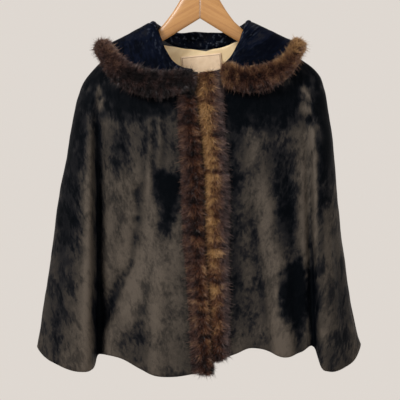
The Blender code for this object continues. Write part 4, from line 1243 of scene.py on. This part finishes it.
def grown(mesh, name, node, hair, finishes, hairs, seed):
    """The undercoat with its guard hair, as one plain mesh."""
    blade, tree, sockets = hair
    base = placed(name + "_base", mesh)
    growth = base.modifiers.new("hair", "NODES")
    growth.node_group = tree
    area = sum(face.area for face in mesh.polygons)
    values = {
        "Hair": blade, "Hairs per square metre": hairs / area, **GROWTH, "Seed": seed,
        "Undercoat finish": finishes[0], "Hair finish": finishes[1],
    }
    for input_name, value in values.items():
        growth[sockets[input_name]] = value
    result = plain_mesh(base)
    result.name = name
    for unused in ("lie", "long"):
        if unused in result.attributes:
            result.attributes.remove(result.attributes[unused])
    return finished(result, name, node)


def collar_fur_undercoat(cape, side, name):
    """The undercoat of the collar's mink, and where its hair is long, golden and which way it lies."""
    loops, values = [], {"gold": [], "lie": [], "long": [], "frost": []}
    tones = FUR_TONE["collar_" + WORDS[side]]
    columns = collar_columns(side)
    turn = np.linspace(0, math.tau, FUR_RING, endpoint=False)[:, None]
    outer_share = (1 + np.cos(turn)) / 2
    for column in columns:
        at = column / (FRONT_COLUMNS + BACK_COLUMNS)
        way = (column - columns[0]) / (columns[-1] - columns[0])
        fall, half_width, half_height = smooth(COLLAR[side], at)[0, [2, 4, 5]]
        edge, normal = cape.at(side, column, fall)
        down = cape.downward(side, column, fall)
        crest = near(at, (CREST_AT,), CREST_WIDTH)
        middle = edge + normal * (half_height + FUR_CLEARANCE) + down * (half_width + SEAM)
        middle = middle - down * CREST_SLIM * crest
        neckward = COVER * max(0, 1 - way / COVER_SHARE) * (1 - outer_share)
        wide = half_width - UNDERCOAT * (INNER_TRIM + (1 - INNER_TRIM) * outer_share) + neckward
        wide -= CREST_SLIM * crest
        high = half_height - UNDERCOAT * (LOW_TRIM + CREST_TRIM * crest)
        loop = middle + down * wide * np.cos(turn) + normal * high * np.sin(turn)
        if column == columns[-1]:
            loop[:, 0] = side * SEAM / 2
        loops.append(loop)
        inner_tone, outer_tone = smooth(tones, way)[0]
        aside = unit(np.cross(down, normal)) * side
        values["gold"].append(inner_tone + (outer_tone - inner_tone) * outer_share[:, 0])
        values["lie"].append(down * (HAIR_DOWN + HAIR_FAN * np.cos(turn)) + aside * HAIR_ASIDE)
        values["long"].append(np.full(FUR_RING, COLLAR_LONG))
        values["frost"].append(np.full(FUR_RING, COLLAR_FROST[side]))
    loops = np.array(loops)
    loops += (uneven(loops, FUR_LUMPS, 31.0) * FUR_LUMP_DEPTH)[..., None] * FUR_LUMP_WAY
    return roll(name, loops, [], (FUR_END, 0), values=values)


def front_fur_undercoat(cape, side, name):
    """The undercoat of a front's mink band, domed over the panel's edge."""
    rows = np.linspace(BAND_TOP[side], BAND_FOOT, BAND_ROWS)
    tones = FUR_TONE["front_" + WORDS[side]]
    loops, values = [], {"gold": [], "lie": [], "long": [], "frost": []}
    dome = spaced(np.array([(w, h, 0) for w, h in BAND_DOME], float), np.zeros(1), BAND_RING)[:, :2]
    for share in rows:
        under = [cape.at(side, column, share) for column in np.linspace(0, BAND_COLUMNS, BAND_RING // 2)]
        base, normals = zip(*under)
        across = base[-1] - base[0]
        joined = near(share, PELT_JOINS[side], JOIN_WIDTH)
        plump = near(share - PLUMP_BELOW, PELT_JOINS[side], PLUMP_WIDTH)
        risen = BAND_TOP_HEIGHT + (1 - BAND_TOP_HEIGHT) * ease((share - rows[0]) / BAND_RISE)
        height = (BAND_HEIGHT * risen - UNDERCOAT) * (1 - JOIN_DEPTH * joined)
        rounded = math.sqrt(1 - max(0, 1 - (share - rows[0]) / BAND_CORNER) ** 2)
        rounded = 1 - BAND_PINCH * (1 - rounded)
        narrowed = (1 - BAND_INSET * UNDERCOAT / np.linalg.norm(across)) * rounded
        loop = [point + normal * SEAM for point, normal in under]
        for wide, high in dome:
            inset = 0.5 + (wide - 0.5) * narrowed
            place = np.clip(inset, 0, 1) * (len(base) - 1)
            low = min(int(place), len(base) - 2)
            normal = unit(normals[low] * (1 - place + low) + normals[low + 1] * (place - low))
            loop.append(base[0] + across * inset + normal * (SEAM + height * high))
        loops.append(loop)
        inner_tone, outer_tone = smooth(tones, (share - rows[0]) / (1 - rows[0]))[0]
        part = np.clip(np.concatenate([np.linspace(0, 1, len(base)), dome[:, 0]]), 0, 1)
        # A painted highlight below each join, darker at each join, and painted shade where the two bands
        # meet.
        tone = inner_tone + (outer_tone - inner_tone) * part + PLUMP_HIGHLIGHT[side] * plump
        tone -= JOIN_DARK * joined + EDGE_DARK * near(part, (0,), EDGE_WIDTH)
        values["gold"].append(tone - MIDDLE_DARK[side] * near(part, (MIDDLE_AT,), MIDDLE_WIDTH))
        down = cape.downward(side, BAND_COLUMNS / 2, min(share, 1 - STEP))
        values["lie"].append(down * BAND_LIE + (part - BAND_LEAN)[:, None] * unit(across))
        values["long"].append(np.full(len(loop), FRONT_LONG))
        values["frost"].append(FROST[side] * ease((part - FROST_FROM) / FROST_OVER))
    return roll(name, loops, [], (0, 0), values=values)


def wooden_arm(cape, side, name, node, beech):
    """One arm of the hanger, from the middle joint to its tip under the shoulder."""
    last_place, last_top, last_bottom, half = ARM_NECK[-1]
    crest = cape.grid[side][:, FRONT_COLUMNS * FINE]
    place_of = np.concatenate([[last_place], np.abs(crest[:, 0])])
    top_of = np.concatenate([[last_top], crest[:, 2] - ARM_CLEARANCE])
    rows = [(SEAM / 2, *ARM_NECK[0][1:3], half - ARM_EDGE)]
    for place in np.linspace(ARM_EDGE_WIDTH, last_place, ARM_ROWS):
        rows.append((place, *smooth(ARM_NECK, place)[0]))
    for place in np.linspace(last_place, ARM_LAST, ARM_ROWS)[1:]:
        top = np.interp(place, place_of, top_of)
        rows.append((place, top, last_bottom - ARM_BOTTOM_SLOPE * (place - last_place), half))
    tip_x, tip_top, tip_bottom, _ = rows[-1]
    height = tip_top - tip_bottom
    for part in TIP_PARTS:
        shut = 1 - math.sqrt(1 - part**2 * TIP_ROUND)
        rows.append((
            tip_x + (ARM_TIP - tip_x) * part, tip_top - TIP_DROP * height * shut,
            tip_bottom + TIP_LIFT * height * shut, half - (half - TIP_HALF) * shut,
        ))
    loops, uv = [], []
    turn = np.linspace(0, math.tau, ARM_RING, endpoint=False)
    ring_y, ring_z = (np.sign(v) * np.abs(v) ** ARM_ROUNDNESS for v in (np.cos(turn), np.sin(turn)))
    for place, top, bottom, thick in rows:
        z = (top + bottom) / 2 + (top - bottom) / 2 * ring_z
        loops.append(np.column_stack([np.full(ARM_RING, side * place), thick * ring_y, z]))
        uv.append(np.column_stack([np.full(ARM_RING, place * GRAIN_RUN), z + ARM_BOTTOM_SLOPE * place]))
    mesh = roll(name, loops, [beech], (0, 0), uv=np.array(uv))
    mesh.set_sharp_from_angle(angle=SHARP)
    return finished(mesh, name, node)


def hook(steel):
    """The steel hook: a straight shank, a bend and three quarters of a turn over the rail."""
    centre = HOOK_WIRE - HOOK_BEND
    join = (HOOK_BEND * math.cos(HOOK_JOIN), centre + HOOK_BEND * math.sin(HOOK_JOIN))
    lead_x = join[0] + HOOK_PULL * abs(math.sin(HOOK_JOIN))
    lead_z = join[1] - HOOK_PULL * abs(math.cos(HOOK_JOIN))
    points = [(0, HOOK_FOOT), (0, (HOOK_FOOT + HOOK_STRAIGHT) / 2), (0, HOOK_STRAIGHT)]
    for t in np.linspace(0, 1, HOOK_LEAD_POINTS)[1:-1]:
        a, b, c, d = (1 - t) ** 3, 3 * t * (1 - t) ** 2, 3 * t * t * (1 - t), t**3
        x = c * lead_x + d * join[0]
        z = a * HOOK_STRAIGHT + b * (HOOK_STRAIGHT + HOOK_PULL) + c * lead_z + d * join[1]
        points.append((x, z))
    for turn in np.linspace(HOOK_JOIN, HOOK_END, HOOK_BEND_POINTS):
        points.append((HOOK_BEND * math.cos(turn), centre + HOOK_BEND * math.sin(turn)))
    data = bpy.data.curves.new("hook_line", "CURVE")
    data.dimensions = "3D"
    data.bevel_depth = HOOK_WIRE
    data.bevel_resolution = 6
    data.use_fill_caps = True
    line = data.splines.new("POLY")
    line.points.add(len(points) - 1)
    for place, (x, z) in zip(line.points, points):
        place.co = (x, 0, z, 1)
    line.use_smooth = True
    mesh = plain_mesh(placed("hook_line", data))
    mesh.materials.clear()
    mesh.materials.append(steel)
    mesh.set_sharp_from_angle(angle=SHARP)
    return finished(mesh, "hanger_wire", "hanger_hook")


def studio():
    """A pale floor below the cape, soft lights and a camera level with the cape's middle."""
    bpy.ops.mesh.primitive_circle_add(vertices=96, radius=FLOOR_RADIUS, fill_type="NGON")
    floor = bpy.context.object
    floor.name = "studio_floor"
    floor.data.transform(Matrix.Translation((0, 0, FLOOR_HEIGHT)))
    made, tree, shader = new_material("painted_floor")
    place = add(tree, "ShaderNodeTexCoord").outputs["Object"]
    soft = add(tree, NOISE, {"Vector": place, "Scale": 2.0})
    paint = add(tree, RAMP, {"Fac": soft}, ((0.3, "#D6D1CB"), (0.7, "#DDD8D2")))
    fill(tree, shader, {"Base Color": paint, "Roughness": 0.9})
    floor.data.materials.append(made)

    scene = bpy.context.scene
    scene.world = bpy.data.worlds.new("studio")
    scene.world.use_nodes = True
    air = scene.world.node_tree
    fill(air, air.nodes["Background"], {"Color": colour("#E4DDD6"), "Strength": WORLD_STRENGTH})

    for name, place, size, power in LIGHTS:
        lamp = bpy.data.lights.new(name, "AREA")
        lamp.shape = "SQUARE"
        lamp.size = size
        lamp.energy = power
        lit = placed(name, lamp)
        lit.location = place
        lit.rotation_euler = (LIGHTS_AIM - Vector(place)).to_track_quat("-Z", "Y").to_euler()

    eye = bpy.data.cameras.new("photo_view")
    eye.sensor_width = SENSOR
    eye.lens = SENSOR * CAMERA_DISTANCE / VIEW_WIDTH
    scene.camera = placed("photo_view", eye)
    scene.camera.location = (0, -CAMERA_DISTANCE, CAMERA_HEIGHT)
    scene.camera.rotation_euler = (math.pi / 2, 0, 0)
    scene.view_settings.view_transform = "Standard"


plush, satin = seal_plush("seal_plush", "#020407", "#07090D"), cream_satin()
collar_plush = seal_plush("collar_plush", "#01030A", "#050A18")
woven, beech, steel = label_satin(), varnished_beech(), plated_steel()
mink = (mink_undercoat(), mink_hair())

cape = Cape()
front_right = front_panel(cape, RIGHT, "cape_front_right", "front_right", [plush, satin])
front_left = front_panel(cape, LEFT, "cape_front_left", "front_left", [plush, satin])
back = back_panel(cape, [plush, satin])
lining = back_lining(cape, satin)
tag = label(cape, woven)
neck_collar = collar(cape, collar_plush)
wooden_arm(cape, RIGHT, "hanger_wood_right", "hanger_arm_right", beech)
wooden_arm(cape, LEFT, "hanger_wood_left", "hanger_arm_left", beech)
hook(steel)

hair = (hair_blade(), *hair_tree())
for side, word in WORDS.items():
    for place, undercoat, hairs, seed in (
        ("collar", collar_fur_undercoat, COLLAR_HAIRS, COLLAR_SEED),
        ("front", front_fur_undercoat, FRONT_HAIRS, FRONT_SEED),
    ):
        name = f"{place}_mink_{word}"
        base = undercoat(cape, side, name)
        grown(base, name, f"{place}_fur_{word}", hair, mink, hairs, seed + side)
bpy.data.objects.remove(hair[0])

studio()
